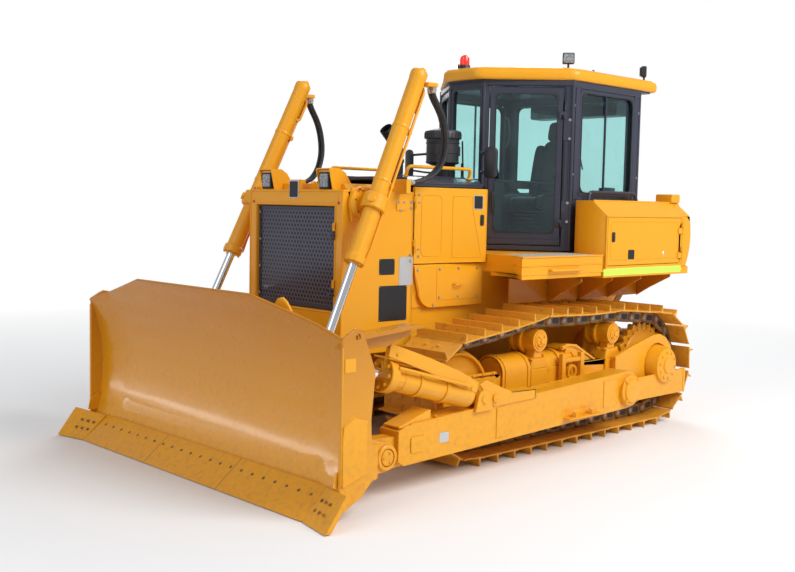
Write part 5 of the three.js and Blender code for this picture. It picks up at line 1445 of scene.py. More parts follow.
def make_engine_side():
    """Door panels, seams, latch and plates, side covers, and the guard with the yoke bearing, on each side."""
    for side, sign in SIDES:
        door, steel, black = Solids(), Solids(), Solids()
        bead_on(door, rounded(2520, 2760, 1680, 2190, 45, 4), door_y, 4)
        bead_on(
            door, [(2390, 2190), (2170, 2190), (2170, 2110), (2060, 1690), (2060, 1665), (2390, 1665)],
            door_y, 4,
        )
        bead_on(door, [(2838, 1620), (2838, 2252)], door_y, 5, closed=False, out=-2)
        bead_on(door, [(2000, 1620), (2000, 2252)], door_y, 7, closed=False, out=-3)
        bead_on(door, [(2838, 1622), (2002, 1622)], door_y, 6, closed=False, out=-3)
        door.finish(side + "engine_door_panels", side + "engine_door", "yellow_paint", sign, 50)
        for z in (1740, 1680, 2130, 2190):
            bolts(steel, [(2790, door_y(2790), z)], LEFT, 9, 9)
        steel.finish(side + "engine_door_bolts", side + "engine_door", "zinc_bolt", sign, 30)
        latch(black, 2052, door_y(2052), 1985)
        black.finish(side + "engine_door_latch", side + "engine_door", "black_plastic", sign, 30)
        badge = Solids()
        x0, x1 = 2040, 2150
        outline = rounded(-55, 55, -62, 62, 10, 3)
        tilt = unit([x1 - x0, door_y(x1) - door_y(x0), 0])
        out = np.array([-tilt[1], tilt[0], 0]) * (1 if tilt[0] > 0 else -1)
        centre = np.array([2100, door_y(2100) - 0.5, 2140])
        badge.slab(outline, tilt, UP, centre, out * 3.5, 1)
        badge.finish(side + "engine_door_plate_rim", side + "engine_door", "blank_plate", sign, 30)
        Solids().slab(
            rounded(-48, 48, -55, 55, 7, 3), tilt, UP, centre + out * 3, out * 2, 0.8
        ).finish(side + "engine_door_plate", side + "engine_door", "black_paint", sign, 30)

        low, studs = Solids(), Solids()
        cover = rounded(2030, 2560, 1300, 1590, 12, 3)
        low.plate_y(cover, 649.5, 654, 1.5)
        seam = [(2830, 1600), (2800, 1430), (2740, 1300), (2660, 1245)]
        low.tube(smooth_path([(x, 651, z) for x, z in seam], 6), 4, 8)
        low.tube(
            bent_path([(2260, 652, 1430), (2260, 690, 1430), (2360, 690, 1430), (2360, 652, 1430)], 14), 7,
            12,
        )
        low.finish(side + "engine_side_cover", "machine", "yellow_paint", sign, 30)
        spots = [
            (x, 654, z) for x in (2060, 2295, 2530) for z in (1325, 1565)
        ] + [(2790, 650, 1560), (2600, 650, 1262)]
        bolts(studs, spots, LEFT, 9, 9)
        studs.finish(side + "engine_side_bolts", "machine", "zinc_bolt", sign, 30)

        guard, fix, dark, plates = Solids(), Solids(), Solids(), Solids()
        slope = unit([740, -37, 0])
        outward = np.array([-slope[1], slope[0], 0])

        def on_guard(x, z, out=0.0):
            """Point on the guard's side face, moved outwards by out."""
            return np.array([x, guard_y(x), z]) + outward * out

        def guard_plate(shell, x, z, width, height, thick, radius=6, out=0.0):
            """Rounded plate lying on the guard's side face."""
            outline = rounded(-width / 2, width / 2, -height / 2, height / 2, radius, 3)
            shell.slab(outline, slope, UP, on_guard(x, z, out), outward * thick, min(1.0, thick / 3))

        guard_plate(plates, 2925, 1560, 150, 235, 2.5)
        guard_plate(dark, 3130, 1600, 165, 130, 2.5)
        guard_plate(dark, 3060, 1300, 300, 290, 2.5)
        for x, z, w, h in ((3130, 1600, 165, 130), (3060, 1300, 300, 290), (2925, 1560, 150, 235)):
            for dx in (-w / 2 + 8, w / 2 - 8):
                for dz in (-h / 2 + 8, h / 2 - 8):
                    fix.rod(on_guard(x + dx, z + dz, 2), on_guard(x + dx, z + dz, 4), 4, 0.8, 10)
        dark.finish(side + "guard_dark_plates", "machine", "black_paint", sign, 30)
        plates.finish(side + "guard_pale_plate", "machine", "blank_plate", sign, 30)
        guard.tube([on_guard(2865, z, -1) for z in np.linspace(930, 2200, 12)], 5, 8)
        guard_plate(guard, 2990, 2090, 110, 60, 8, 10)
        for x, z in (
            (2880, 2130), (2880, 2080), (2990, 2060), (2960, 2120), (3020, 2120), (2880, 1690), (2880, 1640)
        ):
            fix.copies(*bolt_shape(10, 9), [standing(on_guard(x, z), outward)])
        fix.finish(side + "guard_bolts", "machine", "zinc_bolt", sign, 30)
        # bearing block of the lift yoke with its blank cover, cap ring and grease caps
        x, _, z = LIFT_YOKE
        guard.lathe(
            [(0, 0), (0, 118), (10, 128), (40, 128), (50, 116), (62, 104), (62, 0)], (x, 622, z), LEFT, 40
        )
        guard.plate_y(
            [
                (x - 96, z - 150), (x + 96, z - 150), (x + 118, z), (x + 96, z + 120), (x - 96, z + 120),
                (x - 118, z),
            ],
            618, 640, 4,
        )
        bolts(guard, circle_points(x, 672, z, 100, 6, 15), LEFT, 12, 12)
        guard.hollow_ring([(0, 36), (0, 60), (14, 60), (18, 54), (18, 36)], (x, 676, z), LEFT, 32)
        # lifting eye on the shoulder and the shoulder's rounded lip
        t = np.radians(np.linspace(-20, 200, 14))
        eye = np.c_[2930 + 34 * np.cos(t), 0 * t + 560, 2258 + 34 * np.sin(t)]
        guard.tube(eye, 11, 12)
        guard.tube([(xx, guard_y(xx) - 6, 2204) for xx in np.linspace(2856, 3586, 10)], 9, 10)
        guard.tube([(3588, guard_y(3588) - 6, zz) for zz in np.linspace(910, 2204, 10)], 9, 10)
        guard.finish(side + "guard_details", "machine", "yellow_paint", sign, 34)
        red = Solids()
        red.rod((x - 60, 690, z + 96), (x - 60, 690, z + 118), 11, 2, 16)
        red.rod((x + 60, 690, z + 96), (x + 60, 690, z + 118), 11, 2, 16)
        red.rod((3589, 560, 2110), (3596, 560, 2110), 13, 2, 16)
        red.finish(side + "red_plugs", "machine", "red_cap", sign, 34)


def make_front():
    """Grille frame and its bolts, the lip of its opening, hooded lamps and a blank badge on its stand."""
    sheet, steel = Solids(), Solids()
    for y in (-498, 498):
        sheet.block(3560, 3568, y - 12, y + 12, 1262, 2070, 2)
    for z in (1268, 2064):
        sheet.block(3560, 3568, -510, 510, z - 12, z + 12, 2)
    sheet.finish("grille_frame", "grille_door", "night_paint", 1, 30)
    for y in (-498, 498):
        for z in (1330, 1560, 1790, 2020):
            bolts(steel, [(3568, y, z)], AHEAD, 8, 7)
    steel.finish("grille_bolts", "grille_door", "zinc_bolt", 1, 30)
    lips = Solids()
    for y in (-524, 524):
        lips.tube([(3590, y, z) for z in np.linspace(1240, 2092, 8)], 8, 8)
    for z in (1240, 2092):
        lips.tube([(3590, y, z) for y in np.linspace(-524, 524, 8)], 8, 8)
    lips.plate_x(rect(-560, 560, 2112, 2190), 3589, 3593, 1.5)
    lips.tube([(3588, y, 2205) for y in np.linspace(-606, 606, 12)], 10, 10)
    lips.finish("grille_opening_lip", "machine", "yellow_paint", 1, 34)
    for y in (380, -380):
        side = "left_" if y > 0 else "right_"
        lens, box_part, hood = Solids(), Solids(), Solids()
        box_part.plate_x(rounded(y - 62, y + 62, 2222, 2352, 10, 3), 3556, 3596, 3)
        lens.plate_x(rounded(y - 50, y + 50, 2236, 2340, 8, 3), 3595, 3600, 1.5)
        outline = [
            (3610, 2374), (3600, 2384), (3500, 2384), (3440, 2350), (3376, 2262), (3376, 2240),
            (3440, 2322), (3506, 2366),
        ]
        hood.plate_y(outline, y - 84, y + 84, 3)
        cheek = [
            (3610, 2374), (3572, 2208), (3376, 2208), (3376, 2262), (3440, 2350), (3500, 2384), (3600, 2384)
        ]
        for s in (-1, 1):
            hood.plate_y(cheek, y + s * 76, y + s * 86, 2)
        box_part.finish(side + "front_lamp_case", "machine", "black_paint", 1, 30)
        lens.finish(side + "front_lamp_lens", "machine", "lamp_lens", 1, 30)
        hood.finish(side + "front_lamp_hood", "machine", "yellow_paint", 1, 30)
    rim, plate = Solids(), Solids()
    rim.plate_x(rounded(-62, 62, 2140, 2290, 16, 4), 3592, 3600, 2.5)
    plate.plate_x(rounded(-52, 52, 2150, 2280, 11, 4), 3599, 3603, 1)
    rim.finish("badge_rim", "machine", "chrome", 1, 30)
    plate.finish("badge_blank", "machine", "black_paint", 1, 30)
    Solids().plate_x(rect(-70, 70, 2195, 2286), 3560, 3592, 3).finish(
        "badge_stand", "machine", "yellow_paint", 1, 30
    )


def make_hood():
    """Raised ribs on the bonnet, its grab rails, the air cleaner and the bent exhaust pipe with its rings."""
    ribs = Solids()
    for y in (-430, 430):
        ribs.plate_z([(2040, y - 46), (2780, y - 30), (2780, y + 30), (2040, y + 46)], 2344, 2356, 4)
    ribs.plate_z(rounded(2320, 2560, -160, 160, 30, 4), 2344, 2354, 4)
    ribs.plate_z(rounded(1660, 2060, -230, 230, 40, 4), 2343, 2351, 3)
    for sign in (1, -1):
        line = [(x, sign * 648, 2290) for x in np.linspace(2000, 2842, 10)]
        ribs.tube(line, 6, 8)
    ribs.finish("hood_ribs", "machine", "night_paint", 1, 40)
    rails = Solids()
    for sign in (1, -1):
        path = [
            (2780, sign * 470, 2345), (2780, sign * 500, 2430), (2030, sign * 530, 2430),
            (2030, sign * 500, 2335),
        ]
        rails.tube(bent_path(path, 90, 8), 15, 14)
        for x, y in ((2780, 470), (2030, 500)):
            rails.rod((x, sign * y, 2338), (x, sign * y, 2350), 28, 3, 24)
    rails.finish("hood_rails", "machine", "yellow_paint", 1, 40)
    cleaner = Solids()
    profile = [
        (0, 0), (0, 78), (8, 82), (110, 82), (128, 90), (150, 150), (158, 156), (168, 156), (172, 152),
        (238, 152),
        (242, 156), (250, 156), (254, 152), (330, 152), (334, 158), (342, 158), (348, 152), (372, 154),
        (378, 170),
        (438, 170), (448, 164), (462, 120), (474, 60), (480, 0),
    ]
    cleaner.lathe(profile, (CLEANER_X, 0, 2345.3), UP, 64)
    for k in range(24):
        t = k * pi / 12
        point = np.array([CLEANER_X + 166 * cos(t), 166 * sin(t), 2726])
        radial = np.array([cos(t), sin(t), 0])
        cleaner.slab(rect(-8, 8, 0, 50), np.cross([0, 0, 1], radial), UP, point, radial * 8, 1)
    for t in (0.4, 2.5, 4.6):
        radial = np.array([cos(t), sin(t), 0])
        base = np.array([CLEANER_X, 0, 2568]) + radial * 152
        cleaner.slab(rect(-12, 12, 0, 90), np.cross([0, 0, 1], radial), UP, base, radial * 14, 3)
    piece = cleaner.finish("air_cleaner", "machine", "black_plastic", 1, 34)
    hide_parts("air_precleaner")
    stack = Solids()
    spine = bent_path([(EXHAUST_X, 0, 2357.5), (EXHAUST_X, 0, 2640), (2580, 0, 2775)], 110, 10)
    outer, faces = tube(spine, 60, 32)
    inner, inner_faces = tube(spine[4:], 54, 32)
    n, m = len(outer), len(inner)
    rim = [
        [n - 32 + k, n - 32 + (k + 1) % 32, n + m - 32 + (k + 1) % 32, n + m - 32 + k] for k in range(32)
    ]
    body_faces = faces[:-1] + [[f + n for f in face[::-1]] for face in inner_faces[:-1]] + rim
    stack.add(np.concatenate([outer, inner]), body_faces)
    stack.hollow_ring([(0, 58), (0, 84), (12, 84), (16, 78), (16, 58)], (EXHAUST_X, 0, 2357.5), UP, 40)
    stack.hollow_ring([(0, 59), (0, 68), (30, 68), (30, 59)], (EXHAUST_X, 0, 2480), UP, 40)
    piece = stack.finish("exhaust_pipe", "machine", "black_paint", 1, 34)
    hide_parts("exhaust_stack")


# ---------------------------------------------------------------- platform, boxes and tank

DECK_Y = 1280  # outer face of the deck and the side boxes
BOX_TOP = 2180
FLOOR_Z = 1482  # underside of the deck's floor


def make_platform():
    """Deck skirts and tread, brackets, box seams, latches and rails, the tank cap, rear lamps and rear pad."""
    for side, sign in SIDES:
        deck, tread, strip, under = Solids(), Solids(), Solids(), Solids()
        line = np.array(
            [(1060, 1283, 1612), (2199, 1283, 1612), (2040, 1063, 1612), (1998, 900, 1612)], float
        )
        deck.tube(line, 4, 8)
        deck.tube(line + [0, 0, 76], 7, 8)
        low = [
            (1070, 1276), (2190, 1276), (2030, 1060), (1995, 760), (1985, 760), (2015, 1050), (2160, 1240),
            (1070, 1240),
        ]
        deck.plate_z(low, 1500, 1536, 3)
        deck.tube(
            bent_path(
                [(1420, 1282, 1572), (1420, 1318, 1572), (1830, 1318, 1572), (1830, 1282, 1572)], 30, 8
            ),
            13, 14,
        )
        deck.finish(side + "deck_skirt", "machine", "yellow_paint", sign, 34)
        tread.plate_z(
            [(1130, 900), (1960, 900), (2010, 1075), (2100, 1200), (2060, 1244), (1130, 1244)], 1689, 1694,
            1,
        )
        tread.finish(side + "deck_tread", "machine", "tread_plate", sign, 30)
        strip.plate_y(rect(-262, 1040, 1562, 1499), 1279.6, 1283, 1)
        strip.finish(side + "safety_strip", "machine", "reflective_strip_painted_glow", sign, 30)
        for x in (-150, 360, 830, 1300):
            web = [(860, FLOOR_Z), (1240, FLOOR_Z), (1240, 1450), (1010, 1330), (860, 1240)]
            under.plate_x(web, x, x + 14, 2)
        under.block(-200, 1850, 846, 858, 1250, FLOOR_Z, 2)
        under.plate_y(
            [
                (-200, FLOOR_Z), (-60, FLOOR_Z), (180, 1180), (900, 1180), (1100, FLOOR_Z), (1180, FLOOR_Z),
                (950, 1120), (140, 1120),
            ],
            800, 812, 2,
        )
        # painted shade: the brackets take the darker blade paint, standing for the shade under the deck
        under.finish(side + "deck_brackets", "machine", "moldboard_paint_with_painted_shade", sign, 30)

        door, lock = Solids(), Solids()
        flat = lambda x: DECK_Y + 0 * np.asarray(x, float)
        bead_on(door, rounded(-196, 944, 1640, 1990, 30, 4), flat, 3.5)
        door.finish(side + "box_door_press", side + "side_box_door", "yellow_paint", sign, 50)
        latch(lock, 905, DECK_Y, 1850, 48, 92)
        lock.finish(side + "box_door_latch", side + "side_box_door", "black_plastic", sign, 30)
        Solids().plate_y(rounded(560, 660, 1640, 1730, 10, 3), DECK_Y, 1283, 1).finish(
            side + "box_blank_plate", side + "side_box_door", "black_paint", sign, 30
        )
        Solids().lathe(
            [(0, 0), (0, 17), (4, 17), (9, 11), (10, 0)], (60, DECK_Y, 1690), LEFT, 24
        ).finish(side + "box_lock_barrel", side + "side_box_door", "chrome", sign, 30)
        shell = Solids()
        top = [(x, 1150, BOX_TOP) for x in np.linspace(-268, 1045, 8)]
        shell.tube(top, 8, 10)
        shell.tube([(x, DECK_Y, 2040) for x in np.linspace(-268, 1008, 8)], 8, 10)
        shell.tube([(1010, DECK_Y, 2040), (1010, DECK_Y, 1556)], 8, 10)
        shell.tube([(-273, 1281, 1556), (-273, 1281, 2040), (-273, 1151, 2181), (-273, 700, 2181)], 5, 8)
        shell.finish(side + "box_edges", "machine", "yellow_paint", sign, 50)
        # grab rail on the box's top beside the side window
        Solids().tube(
            bent_path([(820, 930, 2178), (800, 925, 2262), (60, 925, 2262), (20, 930, 2178)], 70, 8), 16, 14
        ).finish(side + "box_rail", "machine", "night_paint", sign, 40)
    cap = Solids()
    cap.lathe(
        [(0, 0), (0, 62), (10, 66), (44, 66), (52, 78), (78, 78), (86, 68), (90, 0)], (-190, 420, 2238), UP,
        40,
    )
    for k in range(6):
        t = k * pi / 3
        cap.rod(
            (-190 + 72 * cos(t), 420 + 72 * sin(t), 2286), (-190 + 72 * cos(t), 420 + 72 * sin(t), 2322),
            12, 3, 12,
        )
    cap.finish("fuel_cap", "machine", "black_plastic", 1, 34)
    rear = Solids()
    for y in (-900, -300, 300, 900):
        rear.plate_y(
            [(-440, 1700), (-446, 1850), (-440, 2000), (-430, 2000), (-436, 1850), (-430, 1700)], y - 5,
            y + 5, 1,
        )
    rear.block(-360, -210, 1000, 1180, 2178, 2262, 8)
    for sign in (1, -1):
        rear.tube(
            bent_path(
                [
                    (-425, sign * 980, 2040), (-490, sign * 980, 2060), (-490, sign * 980, 2150),
                    (-400, sign * 980, 2182),
                ],
                20,
            ),
            12, 12,
        )
    rear.finish("tank_details", "machine", "yellow_paint", 1, 34)
    lamps, rims = Solids(), Solids()
    for sign in (1, -1):
        y = sign * 1130
        rims.plate_x(rounded(y - 70, y + 70, 1610, 1680, 10, 3), -436, -398, 3)
        lamps.plate_x(rounded(y - 58, y + 58, 1621, 1669, 8, 3), -441, -435, 1.5)
    rims.finish("rear_lamp_cases", "machine", "black_plastic", 1, 30)
    lamps.finish("rear_lamp_lenses", "machine", "red_lens", 1, 30)
    plate = Solids()
    plate.plate_x(rounded(-420, 420, 640, 1200, 30, 4), -428, -419, 3)
    bolts(plate, [(-428, y, z) for y in (-380, -130, 130, 380) for z in (680, 1160)], (-1, 0, 0), 16, 14)
    bolts(plate, [(-428, y, z) for y in (-380, 380) for z in (840, 1000)], (-1, 0, 0), 16, 14)
    plate.finish("ripper_pad", "machine", "yellow_paint", 1, 30)


# ---------------------------------------------------------------- cab

NOSE, SHOULDER, REAR = np.array([1530.0, 218]), np.array([1000.0, 850]), np.array([-90.0, 850])
CAB_TOP = 3285
CAB_FLOOR = 1746  # just over the floor panel
RAIL_LOW, RAIL_TOP = 3222, 3283  # the rails along the tops of the walls
BEACON_X = 1470


class Wall:
    """Upright wall from a to b: points at s along it, height z and depth d outwards."""

    def __init__(self, a, b):
        self.a, self.along = np.asarray(a, float), unit(np.asarray(b, float) - a)
        self.out = np.array([self.along[1], -self.along[0]])
        if np.dot(self.out, self.a + self.along * 100) < 0:
            self.out = -self.out
        self.length = np.linalg.norm(np.asarray(b, float) - a)

    def point(self, s, z, d=0.0):
        """World point at s along the wall, height z and depth d."""
        x, y = self.a + self.along * s + self.out * d
        return np.array([x, y, z])

    def plate(self, outline, d0, d1, chamfer=0.0):
        """Outline of (s, z) points between two depths."""
        u, v = (*self.along, 0), UP
        base = np.array([*self.a, 0]) + np.array([*self.out, 0]) * d0
        return slab(outline, u, v, base, np.array([*self.out, 0]) * (d1 - d0), chamfer)

    def frame(self, outer, inner, d0, d1):
        """Flat ring between two outlines with the same number of points."""
        n = len(outer)
        layer = lambda line, d: np.array([self.point(s, z, d) for s, z in line])
        points = np.concatenate([layer(outer, d0), layer(outer, d1), layer(inner, d1), layer(inner, d0)])
        faces = ring_faces(4, n, closed=True)
        centre = points.mean(0)
        first = points[faces[0]]
        normal = np.cross(first[1] - first[0], first[2] - first[1])
        if np.dot(normal, first.mean(0) - centre) < 0:
            faces = [face[::-1] for face in faces]
        return points, faces


DOOR, SIDE_WALL = Wall(SHOULDER, NOSE), Wall(REAR, SHOULDER)
FRONT, BACK = Wall(NOSE, NOSE * [1, -1]), Wall(REAR * [1, -1], REAR)


def glazing(shell, wall, s0, s1, z0, z1, radius, rim, d0, d1):
    """Window surround with rounded corners, rim wide outside the glass line."""
    outer = rounded(s0 - rim, s1 + rim, z0 - rim, z1 + rim, radius * 0.5 + 4, 6)
    inner = rounded(s0, s1, z0, z1, radius, 6)
    shell.add(*wall.frame(outer, inner, d0, d1))


def make_cab():
    """Pillars, door frames, rubber seals, hinges, handles, top rails, mirrors and wipers."""
    length = DOOR.length
    for side, sign in SIDES:
        leaf, seal, steel = Solids(), Solids(), Solids()
        s0, s1, z0, z1 = 84, length - 56, 1751, 3224
        glazing(leaf, DOOR, s0 + 58, s1 - 54, z0 + 112, z1 - 62, 70, 50, -4, 7)
        leaf.add(*DOOR.plate(rounded(s0 + 20, s1 - 8, z0 + 10, z0 + 62, 6, 2), -2, 5, 1.5))
        leaf.finish(side + "door_frame", side + "cab_door", "night_paint", sign, 34)
        glazing(seal, DOOR, s0 + 64, s1 - 60, z0 + 118, z1 - 68, 66, 9, 3, 10)
        seal.finish(side + "door_seal", side + "cab_door", "hose_rubber", sign, 34)
        grip = Solids()
        spot = lambda s, z, d: DOOR.point(s, z, d)
        grip.add(*DOOR.plate(rounded(s1 - 70, s1 - 20, 2090, 2210, 12, 3), 4, 16, 3))
        grip.tube(
            bent_path(
                [
                    spot(s1 - 46, 2060, 8), spot(s1 - 46, 2060, 52), spot(s1 - 46, 2240, 52),
                    spot(s1 - 46, 2240, 8),
                ],
                20, 6,
            ),
            9, 12,
        )
        line = [
            spot(s0 + 60, 2330, -30), spot(s0 + 62, 2330, -70), spot(s1 - 62, 2350, -70),
            spot(s1 - 60, 2350, -30),
        ]
        grip.tube(bent_path(line, 30, 6), 13, 12)
        oval = smooth_path(
            [spot(s, z, -60) for s, z in ((640, 2940), (600, 2920), (580, 2800), (600, 2680), (640, 2660))],
            5,
        )
        grip.tube(oval, 10, 12)
        grip.finish(side + "door_handles", side + "cab_door", "black_plastic", sign, 34)
        pillar, rubber = Solids(), Solids()
        for s in (4, 40):
            pillar.add(*DOOR.plate(rect(s, s + 26, 1706, 3280), -2, 5, 2))
        pillar.tube([DOOR.point(0, z, 3) for z in (1704, 2400, 3284)], 16, 16)
        pillar.tube([DOOR.point(length, z, 0) for z in (1704, 2400, 3284)], 16, 16)
        pillar.tube([SIDE_WALL.point(0, z, -8) for z in (2184, 2700, 3284)], 18, 16)
        for s, w in ((66, 34), (SIDE_WALL.length - 66, 34)):
            pillar.add(*SIDE_WALL.plate(rect(s - w, s + w, 2186, 3280), -2, 8, 3))
        pillar.add(*SIDE_WALL.plate(rect(0, SIDE_WALL.length, RAIL_LOW, RAIL_TOP), -2, 14, 4))
        pillar.add(*DOOR.plate(rect(0, length, 3236, RAIL_TOP), -2, 14, 4))
        glazing(pillar, SIDE_WALL, 128, SIDE_WALL.length - 128, 2250, 3186, 80, 26, -2, 6)
        mast = SIDE_WALL.length * 0.52
        pillar.add(*SIDE_WALL.plate(rect(mast - 7, mast + 7, 2240, 3200), -18, 3, 2))
        for z in (2060, 2830):
            pillar.add(*DOOR.plate(rounded(12, 84, z - 100, z + 110, 8, 3), 4, 11, 2))
            for dz in (-82, 92):
                steel.copies(*bolt_shape(9, 8), [standing(DOOR.point(26, z + dz, 11), (*DOOR.out, 0))])
        for s in (20, SIDE_WALL.length - 20):
            for z in (2420, 3060):
                steel.copies(*bolt_shape(9, 7), [standing(SIDE_WALL.point(s, z, 0.5), LEFT)])
        pillar.finish(side + "cab_pillars", "machine", "night_paint", sign, 34)
        steel.finish(side + "cab_bolts", "machine", "zinc_bolt", sign, 30)
        glazing(rubber, SIDE_WALL, 136, SIDE_WALL.length - 136, 2258, 3178, 74, 10, 2, 9)
        rubber.finish(side + "side_window_seal", "machine", "hose_rubber", sign, 34)
        # mirror on its bent arm ahead of the door
        arm, case, glass = Solids(), Solids(), Solids()
        arm.tube(bent_path([(1535, 232, 2600), (1700, 350, 2600), (1745, 500, 2590)], 50, 8), 12, 12)
        arm.tube(bent_path([(1535, 232, 2420), (1700, 350, 2420), (1745, 500, 2440)], 50, 8), 10, 12)
        face = unit([0.92, 0.38, 0])
        flat = unit(np.cross([0, 0, 1], face))
        centre = np.array([1745, 520, 2500])
        case.slab(rounded(-62, 62, -142, 142, 46, 8), flat, UP, centre, face * 46, 12)
        glass.slab(rounded(-51, 51, -128, 128, 38, 8), flat, UP, centre, -face * 3, 1)
        arm.finish(side + "mirror_arm", "machine", "night_paint", sign, 34)
        case.finish(side + "mirror_case", "machine", "black_plastic", sign, 50)
        glass.finish(side + "mirror_face", "machine", "mirror_glass", sign, 40)
    front = Solids()
    glazing(front, FRONT, 46, FRONT.length - 46, 2018, 3200, 40, 26, -2, 7)
    front.add(*FRONT.plate(rect(0, FRONT.length, RAIL_LOW, RAIL_TOP), -2, 14, 4))
    front.finish("front_window_frame", "machine", "night_paint", 1, 34)
    back = Solids()
    glazing(back, BACK, 138, BACK.length - 138, 2262, 3186, 70, 30, -2, 8)
    back.add(*BACK.plate(rect(0, BACK.length, RAIL_LOW, RAIL_TOP), -2, 12, 4))
    back.add(*BACK.plate(rounded(80, BACK.length - 80, 1760, 2180, 30, 4), -2, 4, 2))
    back.finish("rear_window_frame", "machine", "night_paint", 1, 34)
    wipers = Solids()
    for wall, s, z, lean in ((FRONT, FRONT.length / 2, 2080, 0.1), (BACK, BACK.length / 2, 3150, 0.5)):
        up = 1 if z < 2500 else -1
        out = np.array([*wall.out, 0])
        a = wall.point(s, z, 8)
        b = wall.point(s + 230 * lean, z + up * 430, 30)
        wipers.rod(a, a + out * 30, 22, 4, 20)
        wipers.tube([a + out * 22, (a + b) / 2 + out * 22, b], 7, 10)
        c, d = wall.point(s + 60 * lean, z + up * 170, 16), wall.point(s + 330 * lean, z + up * 640, 16)
        wipers.tube([c, (c + d) / 2, d], 8, 8)
    wipers.finish("wipers", "machine", "black_plastic", 1, 34)


def make_roof():
    """Roof shell with a rolled rim and a low crown, its rim line, beacon, lamps and the rear air unit."""
    z0 = CAB_TOP + 0.3
    rim = [(-356, 885), (985, 885), (1640, 205), (1640, -205), (985, -885), (-356, -885)]
    line = np.array(rounded_outline(rim, 70, 8))
    n = len(line)
    layers = [(14, 0), (2, 8), (-4, 30), (-4, 70), (4, 92), (26, 104), (110, 128), (300, 146), (520, 150)]
    points = [np.c_[inset_ring(line, d), np.full(n, z0 + h)] for d, h in layers]
    base = np.c_[inset_ring(line, 60), np.full(n, z0 + 4)]
    points = np.concatenate([base] + points)
    faces = ring_faces(len(layers) + 1, n)
    faces.append(list(range(n))[::-1])
    faces.append([len(points) - n + k for k in range(n)])
    roof = Solids().add(points, faces)
    roof.tube(np.c_[inset_ring(np.vstack([line, line[:1]]), 34), np.full(n + 1, z0 + 104)], 9, 8)
    piece = roof.finish("roof_shell", "machine", "yellow_paint", 1, 60)
    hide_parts("cab_roof")
    Solids().plate_z(inset_ring(line, 40), z0 - 12, z0 + 3, 3).finish(
        "roof_liner", "machine", "night_paint", 1, 40
    )
    base, lens = Solids(), Solids()
    base.lathe(
        [(0, 0), (0, 62), (6, 66), (16, 60), (44, 52), (52, 52), (52, 0)], (BEACON_X, -100, z0 + 112), UP,
        40,
    )
    lens.lathe(
        [(0, 0), (0, 46), (60, 46), (84, 40), (98, 24), (102, 0)], (BEACON_X, -100, z0 + 162), UP, 40
    )
    for h in range(6):
        lens.hollow_ring(
            [(0, 45.5), (2, 48), (5, 48), (7, 45.5)], (BEACON_X, -100, z0 + 168 + 9 * h), UP, 40
        )
    base.finish("beacon_base", "machine", "black_plastic", 1, 34)
    lens.finish("beacon_lens", "machine", "red_lens", 1, 34)
    cases, glass, steel = Solids(), Solids(), Solids()
    spots = [((900, 700, z0 + 120), (0.75, 0.65, 0.0)), ((-250, 780, z0 + 106), (-0.55, 0.83, 0)),
             ((900, -700, z0 + 120), (0.75, -0.65, 0.0)), ((-250, -780, z0 + 106), (-0.55, -0.83, 0))]
    for place, face in spots:
        face = unit(face)
        flat = unit(np.cross([0, 0, 1], face))
        p = np.array(place)
        steel.tube(bent_path([p, p + [0, 0, 46], p + [0, 0, 54]], 8), 10, 10)
        steel.rod(p - [0, 0, 6], p + [0, 0, 10], 26, 4, 20)
        centre = p + [0, 0, 104] - face * 30
        cases.slab(rounded(-56, 56, -52, 52, 14, 5), flat, UP, centre, face * 52, 6)
        for k in range(5):
            cases.slab(rect(-48, 48, -40 + 18 * k, -34 + 18 * k), flat, UP, centre, -face * 16, 1)
        glass.slab(rounded(-47, 47, -43, 43, 10, 5), flat, UP, centre + face * 51, face * 4, 1)
    cases.finish("roof_lamp_cases", "machine", "black_plastic", 1, 34)
    glass.finish("roof_lamp_lenses", "machine", "lamp_lens", 1, 34)
    t = np.radians(np.linspace(-60, 240, 14))
    for y in (640, -640):
        steel.tube(np.c_[420 + 20 * np.cos(t), 0 * t + y, z0 + 146 + 20 * np.sin(t)], 6, 10)
    steel.finish("roof_steel", "machine", "black_paint", 1, 34)
    box_part = Solids()
    box_part.block(-330, -110, -560, 560, 3060, 3284, 12)
    for k in range(9):
        box_part.block(-338, -329, -500 + 120 * k, -420 + 120 * k, 3095, 3250, 3)
    box_part.finish("rear_air_unit", "machine", "night_paint", 1, 34)


def rounded_outline(points, radius, steps):
    """Closed outline with each corner replaced by a short curve."""
    p = np.asarray(points, float)
    made = []
    for a, b, c in zip(np.roll(p, 1, 0), p, np.roll(p, -1, 0)):
        start, end = b + unit(a - b) * radius, b + unit(c - b) * radius
        t = np.linspace(0, 1, steps)[:, None]
        made += ((1 - t) ** 2 * start + 2 * t * (1 - t) * b + t**2 * end).tolist()
    return made


def inset_ring(line, distance):
    """The outline scaled towards its middle so that its sides move in by distance."""
    line = np.asarray(line, float)
    low, high = line.min(0), line.max(0)
    centre = (low + high) / 2
    scale = 1 - 2 * distance / (high - low)
    return centre + (line - centre) * scale


